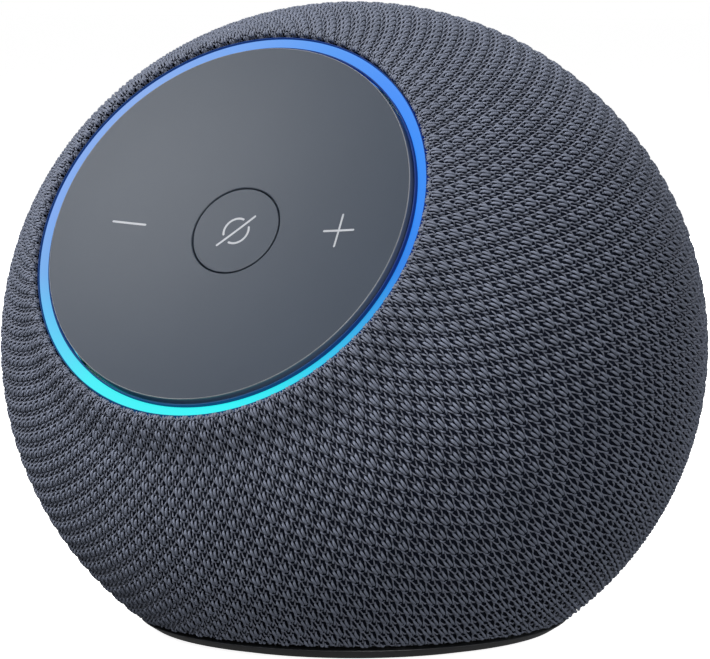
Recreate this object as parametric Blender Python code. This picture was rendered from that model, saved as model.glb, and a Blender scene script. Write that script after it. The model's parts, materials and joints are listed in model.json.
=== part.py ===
"""Ball-shaped smart speaker: knitted cover, tilted control face with a lit ring, two-way speaker.

Numbers are in millimetres and become metres where a mesh or a place is made (MM).
The row's frame has +Z up, the origin under the middle of the foot, and the control face
looks towards -Y and up.
"""

import math

import bmesh
import bpy
from mathutils import Matrix, Vector

MM = 0.001
GAP = 0.3  # clearance left between pieces that would touch
MERGE = 2e-6  # metres within which a turned mesh's points are one

# ---- driving dimensions: the ball ----
BALL_R = 54.35  # horizontal half-width of the knit's outside
BALL_C = 52.79  # vertical half-height of the knit's outside
BALL_Z = 43.76  # height of the ball's middle above the table
FABRIC_T = 1.2
HOUSING_T = 2.2
HOUSING_SKIN = FABRIC_T + GAP  # how far the housing's outside lies under the knit's
HOUSING_INNER = HOUSING_SKIN + HOUSING_T

# ---- base ----
FABRIC_EDGE_Z = 2.46  # lower edge of the knit and of the lower housing
BASE_RING_TOP = FABRIC_EDGE_Z - GAP
BASE_RING_BOTTOM = 0.8
BASE_RING_TOP_R = 33.5
BASE_RING_BOTTOM_R = 31.33
BASE_RING_BORE = 29.0
COVER_R = BASE_RING_BORE - GAP
FOOT_IN = 24.5
FOOT_OUT = 28.0
FOOT_TOP = 1.0
FLOOR_TOP = 4.46
FLOOR_BORE = 16.0
BASE_SCREW_RING = 20.0
PARTING_Z = BALL_Z - 12.0  # where the two housings meet
LIP_R = 48.7
LIP_T = 1.2

# ---- control face: distances are measured from DISC_ORIGIN along the face's axis ----
DISC_TILT = 32.0  # degrees that the face's axis points above the horizon
DISC_DROP = 2.28  # the face's axis passes this far below the ball's middle
PLATE_R = 28.85
PLATE_T = 1.5
PLATE_CENTRE = 40.66
DISH_R = 123.0  # radius of the dished face
SKIRT_BOTTOM = 39.2
SKIRT_T = 1.5
PIVOT_D = 40.2
BUTTON_R = 6.85
BUTTON_BOTTOM = 38.5
ICON_OFFSET = 17.56  # minus and plus, either side of the middle
RING_IN = 29.2
RING_OUT = 31.0
RING_IN_D = 42.6
RING_OUT_D = 43.1
RING_STEM_OUT = 30.4
RING_STEM_BOTTOM = 39.6
WELL_R = 30.7
WELL_WALL = 1.7
WELL_MOUTH_R = RING_OUT + 2 * GAP
WELL_MOUTH_D = 40.3
SHELF_BOTTOM = 31.0
SHELF_TOP = 32.7
SHELF_BORE = 20.0
CARRIER_FLOOR = 35.9
CARRIER_FLOOR_TOP = 36.9
CARRIER_SCREW_RING = 24.2
CARRIER_SCREW_ANGLES = (60, 180, 300)
PIN_R = 0.6
POST_IN = 23.6
POST_OUT = 26.6
BOARD_T = 1.2
CONTROL_BOARD_D = 33.8
CONTROL_BOARD_R = 21.5
SWITCH_D = CONTROL_BOARD_D + BOARD_T + GAP
SWITCH_SIDE = 4.5
SWITCH_H = 2.0
LED_BOARD_D = CARRIER_FLOOR_TOP + GAP
LED_BOARD_IN = 27.2
LED_BOARD_OUT = 30.3
LED_RING_R = 29.75
LED_COUNT = 12

# ---- woofer: distances are measured from the ball's middle along the woofer's axis ----
WOOFER_TILT = 33.0  # degrees above the horizon, towards the back
WOOFER_WINDOW = 28.5
BAFFLE_BOTTOM = 35.5
BAFFLE_TOP = 37.2
BAFFLE_BORE = 30.0
FLANGE_R = 33.7
FLANGE_TOP = 34.6
WOOFER_SCREW_RING = 32.3
CONE_R = 24.0
CONE_NECK = 10.3
CONE_TOP = 35.2
CONE_NECK_D = 27.2
COIL_R = 10.0

# ---- tweeter: distances are measured from the ball's middle along the tweeter's axis ----
TWEETER_TILT = 33.0  # degrees below the horizon, towards the front
TWEETER_WINDOW = 10.5
TWEETER_RING_BOTTOM = 47.3
TWEETER_RING_R = 14.0
TWEETER_SCREW_RING = 12.0
GRILLE_R = 51.2
GRILLE_T = 1.4

# ---- power port, low on the back ----
PORT_HALF_W = 11.0
PORT_ARCH_Z = 13.0
PORT_BACK_Y = 31.0
PORT_SKIN = 0.3  # how far the panel lies under the knit's outside
JACK_Z = 14.5
JACK_CUP_R = 6.2
JACK_CUP_FLOOR = 38.0
JACK_R = 4.0
JACK_BORE = 2.8
JACK_MOUTH_Y = 39.0
JACK_BACK_Y = 20.0
JACK_BODY_BACK = 24.0
JACK_BORE_FLOOR = 29.5
JACK_PIN_R = 0.95
JACK_PIN_BACK = 27.0

# ---- main board ----
MAIN_BOARD_Z = 7.6
MAIN_BOARD_R = 30.0
MAIN_BOARD_TOP = MAIN_BOARD_Z + BOARD_T
BOARD_POST_RING = 27.0
BOARD_POST_ANGLES = (20, 200)

# ---- mesh fineness ----
BALL_STEPS = 32
BALL_ROWS = 7
FINE = 32
ROUND = 16
SMALL = 8


def clear_scene():
    for old in list(bpy.data.objects):
        bpy.data.objects.remove(old, do_unlink=True)


def material(name, colour, roughness, metallic=0.0):
    mat = bpy.data.materials.new(name)
    mat.use_nodes = True
    shader = mat.node_tree.nodes["Principled BSDF"]
    shader.inputs["Base Color"].default_value = (*colour, 1.0)
    shader.inputs["Roughness"].default_value = roughness
    shader.inputs["Metallic"].default_value = metallic
    return mat


def empty(name, place, tilt=0.0, parent=None):
    """An axis system turned about X by tilt degrees, so that its Z is a sub-part's axis."""
    node = bpy.data.objects.new(name, None)
    bpy.context.collection.objects.link(node)
    node.parent = parent
    node.location = Vector(place) * MM
    node.rotation_euler = (math.radians(tilt), 0.0, 0.0)
    return node


def finish_mesh(name, bm, mat, parent):
    bmesh.ops.recalc_face_normals(bm, faces=bm.faces)
    mesh = bpy.data.meshes.new(name)
    bm.to_mesh(mesh)
    bm.free()
    mesh.shade_smooth()
    mesh.set_sharp_from_angle(angle=math.radians(35))
    node = bpy.data.objects.new(name, mesh)
    bpy.context.collection.objects.link(node)
    node.parent = parent
    if mat:
        mesh.materials.append(mat)
    return node


def lathe(name, profile, mat=None, parent=None, steps=ROUND, centre=(0.0, 0.0)):
    """A turned solid: profile holds (radius, height) points about local Z, moved to centre."""
    bm = bmesh.new()
    verts = [bm.verts.new((r * MM, 0.0, z * MM)) for r, z in profile]
    edges = [bm.edges.new(pair) for pair in zip(verts, verts[1:])]
    if profile[0][0] > 0.0 or profile[-1][0] > 0.0:
        edges.append(bm.edges.new((verts[-1], verts[0])))
    bmesh.ops.spin(bm, geom=verts + edges, cent=(0, 0, 0), axis=(0, 0, 1), dvec=(0, 0, 0),
                   angle=2 * math.pi, steps=steps, use_merge=True)
    bmesh.ops.remove_doubles(bm, verts=bm.verts, dist=MERGE)
    bmesh.ops.translate(bm, verts=bm.verts, vec=(centre[0] * MM, centre[1] * MM, 0.0))
    return finish_mesh(name, bm, mat, parent)


def cylinder(name, radius, low, high, mat=None, parent=None, steps=ROUND, centre=(0.0, 0.0)):
    profile = [(0.0, low), (radius, low), (radius, high), (0.0, high)]
    return lathe(name, profile, mat, parent, steps, centre)


def tube(name, inner, outer, low, high, mat=None, parent=None, steps=ROUND):
    profile = [(inner, low), (outer, low), (outer, high), (inner, high)]
    return lathe(name, profile, mat, parent, steps)


def box(name, low, high, mat=None, parent=None):
    bm = bmesh.new()
    size = Vector(high) - Vector(low)
    middle = (Vector(high) + Vector(low)) / 2
    scale = Matrix.Diagonal((*(size * MM), 1.0))
    bmesh.ops.create_cube(bm, size=1.0, matrix=Matrix.Translation(middle * MM) @ scale)
    return finish_mesh(name, bm, mat, parent)


def prism(name, outline, low, high, mat=None, parent=None):
    """An outline of (x, z) points drawn out along Y from low to high."""
    bm = bmesh.new()
    face = bm.faces.new([bm.verts.new((x * MM, low * MM, z * MM)) for x, z in outline])
    made = bmesh.ops.extrude_face_region(bm, geom=[face])
    moved = [item for item in made["geom"] if isinstance(item, bmesh.types.BMVert)]
    bmesh.ops.translate(bm, verts=moved, vec=(0.0, (high - low) * MM, 0.0))
    return finish_mesh(name, bm, mat, parent)


def boolean(node, tool, operation):
    """The MANIFOLD solver, because EXACT leaves open edges on the shells with many cuts."""
    modifier = node.modifiers.new(operation.lower(), "BOOLEAN")
    modifier.operation = operation
    modifier.solver = "MANIFOLD"
    modifier.object = tool
    tool.hide_render = True
    tool.display_type = "WIRE"


def cut(node, tool):
    boolean(node, tool, "DIFFERENCE")


def fuse(node, tool):
    boolean(node, tool, "UNION")


def ball_r(skin, z):
    """Radius of the ball at a height, at a depth of skin under the knit's outside."""
    return (BALL_R - skin) * math.sqrt(1.0 - ((z - BALL_Z) / (BALL_C - skin)) ** 2)


def ball_arc(skin, low, high, rows=BALL_ROWS):
    """Points on the ball's outline from one height to another; high=None goes to the pole.

    The points between the ends stand on a fixed grid of rows from the equator to the pole, so
    that the facets of nested shells lie parallel and keep their distance.
    """
    radius, half = BALL_R - skin, BALL_C - skin
    start = math.asin((low - BALL_Z) / half)
    end = math.pi / 2 if high is None else math.asin((high - BALL_Z) / half)
    grid = [math.pi / 2 * i / rows for i in range(-rows, rows + 1)]
    angles = [start] + [a for a in grid if start + 0.05 < a < end - 0.05] + [end]
    points = [(radius * math.cos(a), BALL_Z + half * math.sin(a)) for a in angles]
    if high is None:
        points[-1] = (0.0, BALL_Z + half)
    return points


def dish(r):
    """Distance along the face's axis of the dished face at a radius."""
    return PLATE_CENTRE + DISH_R - math.sqrt(DISH_R**2 - r**2)


def sphere_cap(radius, edge, rows):
    """Points on a sphere round the origin, from the axis out to the radius edge."""
    end = math.asin(edge / radius)
    points = [(0.0, radius)]
    for i in range(1, rows + 1):
        points.append((radius * math.sin(end * i / rows), radius * math.cos(end * i / rows)))
    return points


def on_ring(radius, degrees):
    return (radius * math.cos(math.radians(degrees)), radius * math.sin(math.radians(degrees)))


def screw(name, place, seat, tip, shank, head, head_h, mat, parent):
    """A pan-head screw along local Z: its head's underside at seat, its point at tip."""
    way = 1.0 if seat > tip else -1.0
    profile = [(0.0, tip), (shank, tip + way * shank), (shank, seat), (head, seat),
               (head * 0.8, seat + way * head_h), (0.0, seat + way * head_h)]
    return lathe(name, profile, mat, parent, SMALL, place)


# ---- outer pieces ----

def port_outline(grow, low):
    """The power port's arch, grown all round by a margin, with its foot at the height low."""
    half = PORT_HALF_W + grow
    steps = 12
    points = [(-half, low), (half, low)]
    for i in range(steps + 1):
        angle = math.pi * i / steps
        points.append((half * math.cos(angle), PORT_ARCH_Z + half * math.sin(angle)))
    return points


def port_notch(name, back):
    return prism(name, port_outline(GAP, -5.0), back, BALL_R + 10.0)


def build_fabric(mat, disc):
    outer = ball_arc(0.0, FABRIC_EDGE_Z, None)
    inner = ball_arc(FABRIC_T, FABRIC_EDGE_Z, None)
    node = lathe("fabric_cover", inner[::-1] + outer, mat, None, BALL_STEPS)
    cut(node, cylinder("fabric_mouth_cutter", RING_OUT + GAP, 30.0, 60.0, None, disc, FINE))
    cut(node, port_notch("fabric_port_cutter", PORT_BACK_Y - GAP))


def build_upper_housing(mat, disc, woofer):
    outer = ball_arc(HOUSING_SKIN, PARTING_Z + GAP / 2, None)
    node = lathe("upper_housing", [(0.0, outer[0][1])] + outer, mat, None, BALL_STEPS)
    inner = ball_arc(HOUSING_INNER, PARTING_Z - 5.0, None)
    cavity = lathe("upper_cavity_cutter", [(0.0, inner[0][1])] + inner, None, None, BALL_STEPS)
    cut(cavity, cylinder("well_block", WELL_R + WELL_WALL, SHELF_BOTTOM, 60.0, None, disc, FINE))
    cut(cavity, cylinder("baffle_block", BALL_R, BAFFLE_BOTTOM, BAFFLE_TOP, None, woofer, FINE))
    cut(node, cavity)
    well = [(0.0, 25.0), (SHELF_BORE, 25.0), (SHELF_BORE, SHELF_TOP), (WELL_R, SHELF_TOP),
            (WELL_R, WELL_MOUTH_D), (WELL_MOUTH_R, WELL_MOUTH_D), (WELL_MOUTH_R, 60.0), (0.0, 60.0)]
    cut(node, lathe("well_bore_cutter", well, None, disc, FINE))
    window = [(0.0, 30.0), (BAFFLE_BORE, 30.0), (BAFFLE_BORE, BAFFLE_TOP + 1.0),
              (WOOFER_WINDOW, BAFFLE_TOP + 2.5), (WOOFER_WINDOW, 60.0), (0.0, 60.0)]
    cut(node, lathe("woofer_window_cutter", window, None, woofer, FINE))
    for i, degrees in enumerate(CARRIER_SCREW_ANGLES):
        cut(node, cylinder(f"carrier_hole_cutter_{i + 1}", 0.9 + GAP, 29.0, 34.0, None, disc,
                           SMALL, on_ring(CARRIER_SCREW_RING, degrees)))
    for i in range(4):
        place = on_ring(WOOFER_SCREW_RING, 45 + 90 * i)
        cut(node, cylinder(f"woofer_hole_cutter_{i + 1}", 0.8 + GAP, 34.0, 37.0, None, woofer,
                           SMALL, place))


def build_lower_housing(mat, disc, tweeter):
    outer = ball_arc(HOUSING_SKIN, FABRIC_EDGE_Z, PARTING_Z - GAP / 2)
    inner = ball_arc(HOUSING_INNER, FLOOR_TOP, PARTING_Z - GAP / 2)
    profile = [(FLOOR_BORE, FABRIC_EDGE_Z)] + outer + inner[::-1] + [(FLOOR_BORE, FLOOR_TOP)]
    node = lathe("lower_housing", profile, mat, None, BALL_STEPS)
    lip = [(LIP_R - LIP_T, PARTING_Z - 4.5), (LIP_R, PARTING_Z - 3.0), (LIP_R, PARTING_Z + 1.5),
           (LIP_R - LIP_T, PARTING_Z + 1.5)]
    lip_block = lathe("lip_block", lip, None, None, BALL_STEPS)
    cut(lip_block, cylinder("lip_well_cutter", WELL_R + WELL_WALL + GAP, SHELF_BOTTOM - GAP, 60.0,
                            None, disc, FINE))
    fuse(node, lip_block)
    seat = tube("tweeter_seat_block", TWEETER_WINDOW, TWEETER_RING_R, TWEETER_RING_BOTTOM, 49.6,
                None, tweeter)
    fuse(node, seat)
    for i, degrees in enumerate(BOARD_POST_ANGLES):
        place = on_ring(BOARD_POST_RING, degrees)
        fuse(node, cylinder(f"board_post_block_{i + 1}", 2.4, FLOOR_TOP - 0.5, MAIN_BOARD_Z - GAP,
                            None, None, SMALL, place))
        cut(node, cylinder(f"board_post_cutter_{i + 1}", 0.8 + GAP, 3.5, 9.0, None, None,
                           SMALL, place))
    cut(node, cylinder("tweeter_window_cutter", TWEETER_WINDOW, 40.0, 60.0, None, tweeter))
    for i, degrees in enumerate((0, 180)):
        cut(node, cylinder(f"tweeter_hole_cutter_{i + 1}", 0.7 + GAP, 46.0, 48.4, None, tweeter,
                           SMALL, on_ring(TWEETER_SCREW_RING, degrees)))
    for i in range(3):
        cut(node, cylinder(f"base_hole_cutter_{i + 1}", 1.0 + GAP, 0.0, 6.0, None, None,
                           SMALL, on_ring(BASE_SCREW_RING, 30 + 120 * i)))
    cut(node, port_notch("housing_port_cutter", PORT_BACK_Y - GAP))


def perforated_cap(name, edge, pitch, hole_r, mat, parent):
    """A domed round grille with six-sided holes on a triangular grid."""
    inner = sphere_cap(GRILLE_R - GRILLE_T, edge, 3)
    outer = sphere_cap(GRILLE_R, edge, 3)
    node = lathe(name, inner + outer[::-1], mat, parent, ROUND)
    bm = bmesh.new()
    reach = int(edge / pitch) + 1
    for row in range(-reach, reach + 1):
        for column in range(-reach, reach + 1):
            x = pitch * (column + row / 2)
            y = pitch * row * math.sqrt(3) / 2
            if math.hypot(x, y) > edge - 1.6 * hole_r:
                continue
            place = Matrix.Translation((x * MM, y * MM, (GRILLE_R - 4.0) * MM))
            bmesh.ops.create_cone(bm, cap_ends=True, segments=6, radius1=hole_r * MM,
                                  radius2=hole_r * MM, depth=20.0 * MM, matrix=place)
    cut(node, finish_mesh(f"{name}_hole_cutter", bm, None, parent))


def build_port(mats):
    arch = prism("rear_port_panel", port_outline(0.0, FABRIC_EDGE_Z), PORT_BACK_Y, BALL_R + 5.0,
                 mats["port"])
    skin = ball_arc(PORT_SKIN, FABRIC_EDGE_Z - 1.0, None, 24)
    ball = lathe("port_ball_trim", [(0.0, FABRIC_EDGE_Z - 1.0)] + skin, None, None, 64)
    boolean(arch, ball, "INTERSECT")
    axis = empty("jack_axis", (0.0, 0.0, JACK_Z), -90.0)
    cup = [(0.0, JACK_BACK_Y), (JACK_R + GAP, JACK_BACK_Y), (JACK_R + GAP, JACK_CUP_FLOOR),
           (JACK_CUP_R, JACK_CUP_FLOOR), (JACK_CUP_R, 70.0), (0.0, 70.0)]
    cut(arch, lathe("jack_cup_cutter", cup, None, axis, ROUND))
    front = PORT_BACK_Y - GAP
    jack = cylinder("dc_jack", JACK_R, front - 1.0, JACK_MOUTH_Y, mats["jack"], axis)
    half = JACK_Z - MAIN_BOARD_TOP - GAP
    body = box("jack_body_block", (-half, JACK_BODY_BACK, JACK_Z - half),
               (half, front, JACK_Z + half))
    fuse(jack, body)
    bore = [(0.0, JACK_PIN_BACK - GAP), (JACK_PIN_R + GAP, JACK_PIN_BACK - GAP),
            (JACK_PIN_R + GAP, JACK_BORE_FLOOR), (JACK_BORE, JACK_BORE_FLOOR),
            (JACK_BORE, JACK_MOUTH_Y + 5.0), (0.0, JACK_MOUTH_Y + 5.0)]
    cut(jack, lathe("jack_bore_cutter", bore, None, axis))
    tip = JACK_MOUTH_Y - 1.0
    pin = [(0.0, JACK_PIN_BACK), (JACK_PIN_R, JACK_PIN_BACK), (JACK_PIN_R, tip - 0.6),
           (JACK_PIN_R * 0.5, tip), (0.0, tip)]
    lathe("dc_jack_pin", pin, mats["steel"], axis, SMALL)


def build_base(mats):
    ring = [(BASE_RING_BORE, BASE_RING_BOTTOM), (BASE_RING_BOTTOM_R, BASE_RING_BOTTOM),
            (BASE_RING_TOP_R, BASE_RING_TOP), (BASE_RING_BORE, BASE_RING_TOP)]
    lathe("base_ring", ring, mats["base"], None, FINE)
    groove = FOOT_TOP + GAP
    cover = [(0.0, BASE_RING_BOTTOM), (FOOT_IN - GAP, BASE_RING_BOTTOM), (FOOT_IN - GAP, groove),
             (FOOT_OUT + GAP, groove), (FOOT_OUT + GAP, BASE_RING_BOTTOM),
             (COVER_R, BASE_RING_BOTTOM), (COVER_R, BASE_RING_TOP), (0.0, BASE_RING_TOP)]
    node = lathe("bottom_cover", cover, mats["base"], None, FINE)
    tube("rubber_foot", FOOT_IN, FOOT_OUT, 0.0, FOOT_TOP, mats["rubber"], None, FINE)
    for i in range(3):
        place = on_ring(BASE_SCREW_RING, 30 + 120 * i)
        hole = [(0.0, 0.0), (2.5, 0.0), (2.5, 1.6), (1.3, 1.6), (1.3, 3.0), (0.0, 3.0)]
        cut(node, lathe(f"cover_hole_cutter_{i + 1}", hole, None, None, SMALL, place))
        screw(f"base_screw_{i + 1}", place, 1.5, 4.1, 1.0, 2.2, 0.5, mats["steel"], None)


# ---- control face ----

def build_plate(mat, disc):
    pivot = empty("plate_pivot", (0.0, 0.0, PIVOT_D), 0.0, disc)
    hole = BUTTON_R + GAP
    rows = 4
    radii = [hole + (PLATE_R - 0.25 - hole) * i / rows for i in range(rows + 1)]
    top = [(r, dish(r) - PIVOT_D) for r in radii]
    inner_r = PLATE_R - SKIRT_T
    under = [(r, dish(r) - PLATE_T - PIVOT_D) for r in radii if r < inner_r] + [
        (inner_r, dish(inner_r) - PLATE_T - PIVOT_D)]
    rim = [(PLATE_R, dish(PLATE_R) - 0.25 - PIVOT_D), (PLATE_R, SKIRT_BOTTOM - PIVOT_D),
           (inner_r, SKIRT_BOTTOM - PIVOT_D)]
    node = lathe("control_plate", top + rim + under[::-1], mat, pivot, FINE)
    for side, name in ((-1, "left"), (1, "right")):
        place = (side * ICON_OFFSET, 0.0)
        fuse(node, cylinder(f"plate_boss_block_{name}", 1.5, 39.3 - PIVOT_D, 41.0 - PIVOT_D,
                            None, pivot, SMALL, place))
    across = empty("pin_axis", (0.0, 0.0, PIVOT_D), -90.0, disc)
    for side, name in ((1, "top"), (-1, "bottom")):
        ends = sorted((side * 26.9, side * 29.4))
        cut(node, cylinder(f"plate_pin_cutter_{name}", PIN_R + GAP, *ends, None, across, SMALL))
    return across


def build_button(mat, disc):
    radii = (0.0, BUTTON_R * 0.5, BUTTON_R - 0.2)
    top = [(r, dish(r)) for r in radii]
    side = [(BUTTON_R, dish(BUTTON_R) - 0.2), (BUTTON_R, BUTTON_BOTTOM), (0.0, BUTTON_BOTTOM)]
    lathe("mute_button", top + side, mat, disc, ROUND)


def build_light_ring(mat, disc):
    profile = [(RING_IN, RING_IN_D), (RING_OUT, RING_OUT_D), (RING_OUT, 41.6),
               (RING_STEM_OUT, 41.0), (RING_STEM_OUT, RING_STEM_BOTTOM), (RING_IN, RING_STEM_BOTTOM)]
    lathe("light_ring", profile, mat, disc, FINE)


def build_carrier(mats, disc, across):
    rim = WELL_R - GAP
    shell = [(0.0, CARRIER_FLOOR), (rim - 1.4, CARRIER_FLOOR), (rim - 1.4, SHELF_TOP + GAP),
             (rim, SHELF_TOP + GAP), (rim, CARRIER_FLOOR_TOP), (0.0, CARRIER_FLOOR_TOP)]
    node = lathe("front_carrier", shell, mats["carrier"], disc, FINE)
    fuse(node, tube("button_guide_block", BUTTON_R + GAP, BUTTON_R + GAP + 1.0,
                    CARRIER_FLOOR + 0.5, 38.6, None, disc))
    for side, name in ((1, "top"), (-1, "bottom")):
        ends = sorted((side * POST_IN, side * POST_OUT))
        fuse(node, box(f"pivot_post_block_{name}", (-1.6, ends[0], CARRIER_FLOOR + 0.5),
                       (1.6, ends[1], PIVOT_D + 1.2), None, disc))
        ends = sorted((side * (POST_IN - 1.0), side * (POST_OUT + 0.3)))
        cut(node, cylinder(f"post_pin_cutter_{name}", PIN_R + GAP, *ends, None, across, SMALL))
        ends = sorted((side * (POST_IN + 0.4), side * (PLATE_R - 0.45)))
        cylinder(f"plate_pivot_pin_{name}", PIN_R, *ends, mats["steel"], across, SMALL)
    for i, degrees in enumerate(CARRIER_SCREW_ANGLES):
        place = on_ring(CARRIER_SCREW_RING, degrees)
        fuse(node, cylinder(f"carrier_boss_block_{i + 1}", 2.2, SHELF_TOP + GAP,
                            CARRIER_FLOOR + 0.5, None, disc, SMALL, place))
        cut(node, cylinder(f"carrier_bore_cutter_{i + 1}", 0.9 + GAP, 30.0, 40.0, None, disc,
                           SMALL, place))
        screw(f"carrier_screw_{i + 1}", place, CARRIER_FLOOR_TOP + GAP, 31.5, 0.9, 1.9, 1.0,
              mats["steel"], disc)
    for i, across_u in enumerate((-ICON_OFFSET, 0.0, ICON_OFFSET)):
        cut(node, cylinder(f"switch_hole_cutter_{i + 1}", 3.6, 35.0, 37.5, None, disc, SMALL,
                           (across_u, 0.0)))


def build_switches(mats, disc):
    half = SWITCH_SIDE / 2
    top = SWITCH_D + SWITCH_H
    for name, side in (("volume_down_switch", -1), ("mute_switch", 0), ("volume_up_switch", 1)):
        u = side * ICON_OFFSET
        node = box(name, (u - half, -half, SWITCH_D), (u + half, half, top), mats["switch"], disc)
        if side:
            fuse(node, cylinder(f"{name}_tip_block", 1.0, top - 0.5, 38.7, None, disc, SMALL,
                                (u, 0.0)))
        else:
            cut(node, cylinder("plunger_bore_cutter", 1.0 + GAP, 36.2, 40.0, None, disc, SMALL))
    cylinder("mute_plunger", 1.0, 36.8, BUTTON_BOTTOM - GAP, mats["jack"], disc, SMALL)


def build_face_boards(mats, disc):
    cylinder("control_board", CONTROL_BOARD_R, CONTROL_BOARD_D, CONTROL_BOARD_D + BOARD_T,
             mats["board"], disc, FINE)
    top = CONTROL_BOARD_D - GAP
    for side, name in ((-1, "left"), (1, "right")):
        u = side * 10.0
        box(f"microphone_{name}", (u - 1.8, 10.6, top - 1.0), (u + 1.8, 13.2, top),
            mats["steel"], disc)
    node = tube("led_board", LED_BOARD_IN, LED_BOARD_OUT, LED_BOARD_D, LED_BOARD_D + BOARD_T,
                mats["board"], disc, FINE)
    bm = bmesh.new()
    low = LED_BOARD_D + BOARD_T - 0.4
    high = RING_STEM_BOTTOM - GAP
    for i in range(LED_COUNT):
        turn = Matrix.Rotation(2 * math.pi * (i + 0.5) / LED_COUNT, 4, "Z")
        place = Matrix.Translation((LED_RING_R * MM, 0.0, (low + high) / 2 * MM))
        scale = Matrix.Diagonal((1.0 * MM, 2.2 * MM, (high - low) * MM, 1.0))
        bmesh.ops.create_cube(bm, size=1.0, matrix=turn @ place @ scale)
    fuse(node, finish_mesh("led_block", bm, None, disc))


# ---- speaker drivers ----

def build_woofer(mats, axis):
    bore = COIL_R + 0.8
    basket = [(bore, 16.0), (20.5, 16.0), (30.0, 33.2), (FLANGE_R, 33.2), (FLANGE_R, FLANGE_TOP),
              (28.8, FLANGE_TOP), (19.6, 17.3), (bore, 17.3)]
    node = lathe("woofer_basket", basket, mats["basket"], axis)
    cut(node, box("basket_window_cutter_1", (-6.5, -40.0, 23.5), (6.5, 40.0, 31.5), None, axis))
    cut(node, box("basket_window_cutter_2", (-40.0, -6.5, 23.5), (40.0, 6.5, 31.5), None, axis))
    for i in range(4):
        place = on_ring(WOOFER_SCREW_RING, 45 + 90 * i)
        cut(node, cylinder(f"flange_hole_cutter_{i + 1}", 0.8 + GAP, 32.0, 36.0, None, axis,
                           SMALL, place))
        screw(f"woofer_screw_{i + 1}", place, 32.9, 36.7, 0.8, 1.5, 1.2, mats["steel"], axis)
    tube("woofer_gasket", 30.3, 31.0, FLANGE_TOP + GAP, BAFFLE_BOTTOM - GAP, mats["rubber"], axis)
    build_surround(mats["rubber"], axis)
    half = 0.35
    cone = [(CONE_NECK, CONE_NECK_D - half), (CONE_R, CONE_TOP - half), (CONE_R, CONE_TOP + half),
            (CONE_NECK, CONE_NECK_D + half)]
    lathe("woofer_cone", cone, mats["cone"], axis)
    crown = 21.9  # radius of the dust cap's dome
    radii = (0.0, 3.6, 7.3, 10.9)
    outer = [(r, 31.6 - crown + math.sqrt(crown**2 - r**2)) for r in radii]
    inner = [(r, z - 0.45) for r, z in outer]
    lathe("woofer_dust_cap", outer + inner[::-1], mats["cone"], axis)
    ripple = [(CONE_NECK + 2.18 * i, 21.8 + (0.0, 0.5, 0.0, -0.5)[i % 4]) for i in range(6)]
    spider = [(r, z - 0.25) for r, z in ripple] + [(r, z + 0.25) for r, z in ripple[::-1]]
    lathe("woofer_spider", spider, mats["spider"], axis)
    coil = [(COIL_R - 0.6, 10.5), (COIL_R + 0.2, 10.5), (COIL_R + 0.2, 17.5), (COIL_R, 17.8),
            (COIL_R, 28.0), (COIL_R - 0.6, 28.0)]
    lathe("woofer_voice_coil", coil, mats["copper"], axis)
    tube("woofer_top_plate", COIL_R + 0.5, 19.5, 13.5, 15.7, mats["steel"], axis)
    tube("woofer_magnet", 11.5, 20.0, 7.0, 13.2, mats["magnet"], axis)
    pole = COIL_R - 1.0
    yoke = [(0.0, 4.2), (18.0, 4.2), (18.5, 4.7), (18.5, 6.7), (pole, 6.7), (pole, 15.7),
            (0.0, 15.7)]
    lathe("woofer_yoke", yoke, mats["steel"], axis)


def build_surround(mat, axis):
    """Half-roll rubber edge between the cone and the basket's flange."""
    middle, foot, lip = 26.8, 35.2, 34.9
    roll = [math.radians(5.5 + 169.0 * i / 4) for i in range(5)]
    under = [math.pi * i / 4 for i in range(5)]
    profile = [(24.3, lip), (24.3, foot + 0.2)]
    profile += [(middle + 2.1 * math.cos(a), foot + 2.1 * math.sin(a)) for a in roll[::-1]]
    profile += [(29.6, foot + 0.2), (29.6, lip), (middle + 1.6, lip)]
    profile += [(middle + 1.6 * math.cos(a), foot + 1.6 * math.sin(a)) for a in under]
    profile += [(middle - 1.6, lip)]
    lathe("woofer_surround", profile, mat, axis)


def build_tweeter(mats, axis):
    face = tube("tweeter_faceplate", 6.9, 13.3, 45.9, TWEETER_RING_BOTTOM - GAP, mats["basket"],
                axis)
    for i, degrees in enumerate((0, 180)):
        place = on_ring(TWEETER_SCREW_RING, degrees)
        cut(face, cylinder(f"faceplate_hole_cutter_{i + 1}", 0.7 + GAP, 45.0, 48.0, None, axis,
                           SMALL, place))
        screw(f"tweeter_screw_{i + 1}", place, 45.6, 48.1, 0.7, 1.4, 1.0, mats["steel"], axis)
    crown = 9.73  # radius of the dome
    radii = (0.0, 2.2, 4.4, 6.0)
    outer = [(r, 48.7 - crown + math.sqrt(crown**2 - r**2)) for r in radii]
    inner = [(r, z - 0.4) for r, z in outer]
    skirt = [(6.4, 46.4), (6.4, 44.9), (6.0, 44.9)]
    lathe("tweeter_dome", outer + skirt + inner[::-1], mats["silk"], axis)
    magnet = [(0.0, 38.3), (8.0, 38.3), (8.0, 41.5), (5.0, 41.5), (5.0, 45.2), (0.0, 45.2)]
    lathe("tweeter_magnet", magnet, mats["magnet"], axis)
    cup = [(0.0, 36.5), (9.6, 36.5), (10.2, 37.1), (10.2, 45.6), (9.0, 45.6), (9.0, 38.0),
           (0.0, 38.0)]
    lathe("tweeter_cup", cup, mats["carrier"], axis)


# ---- main board and wiring ----

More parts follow.
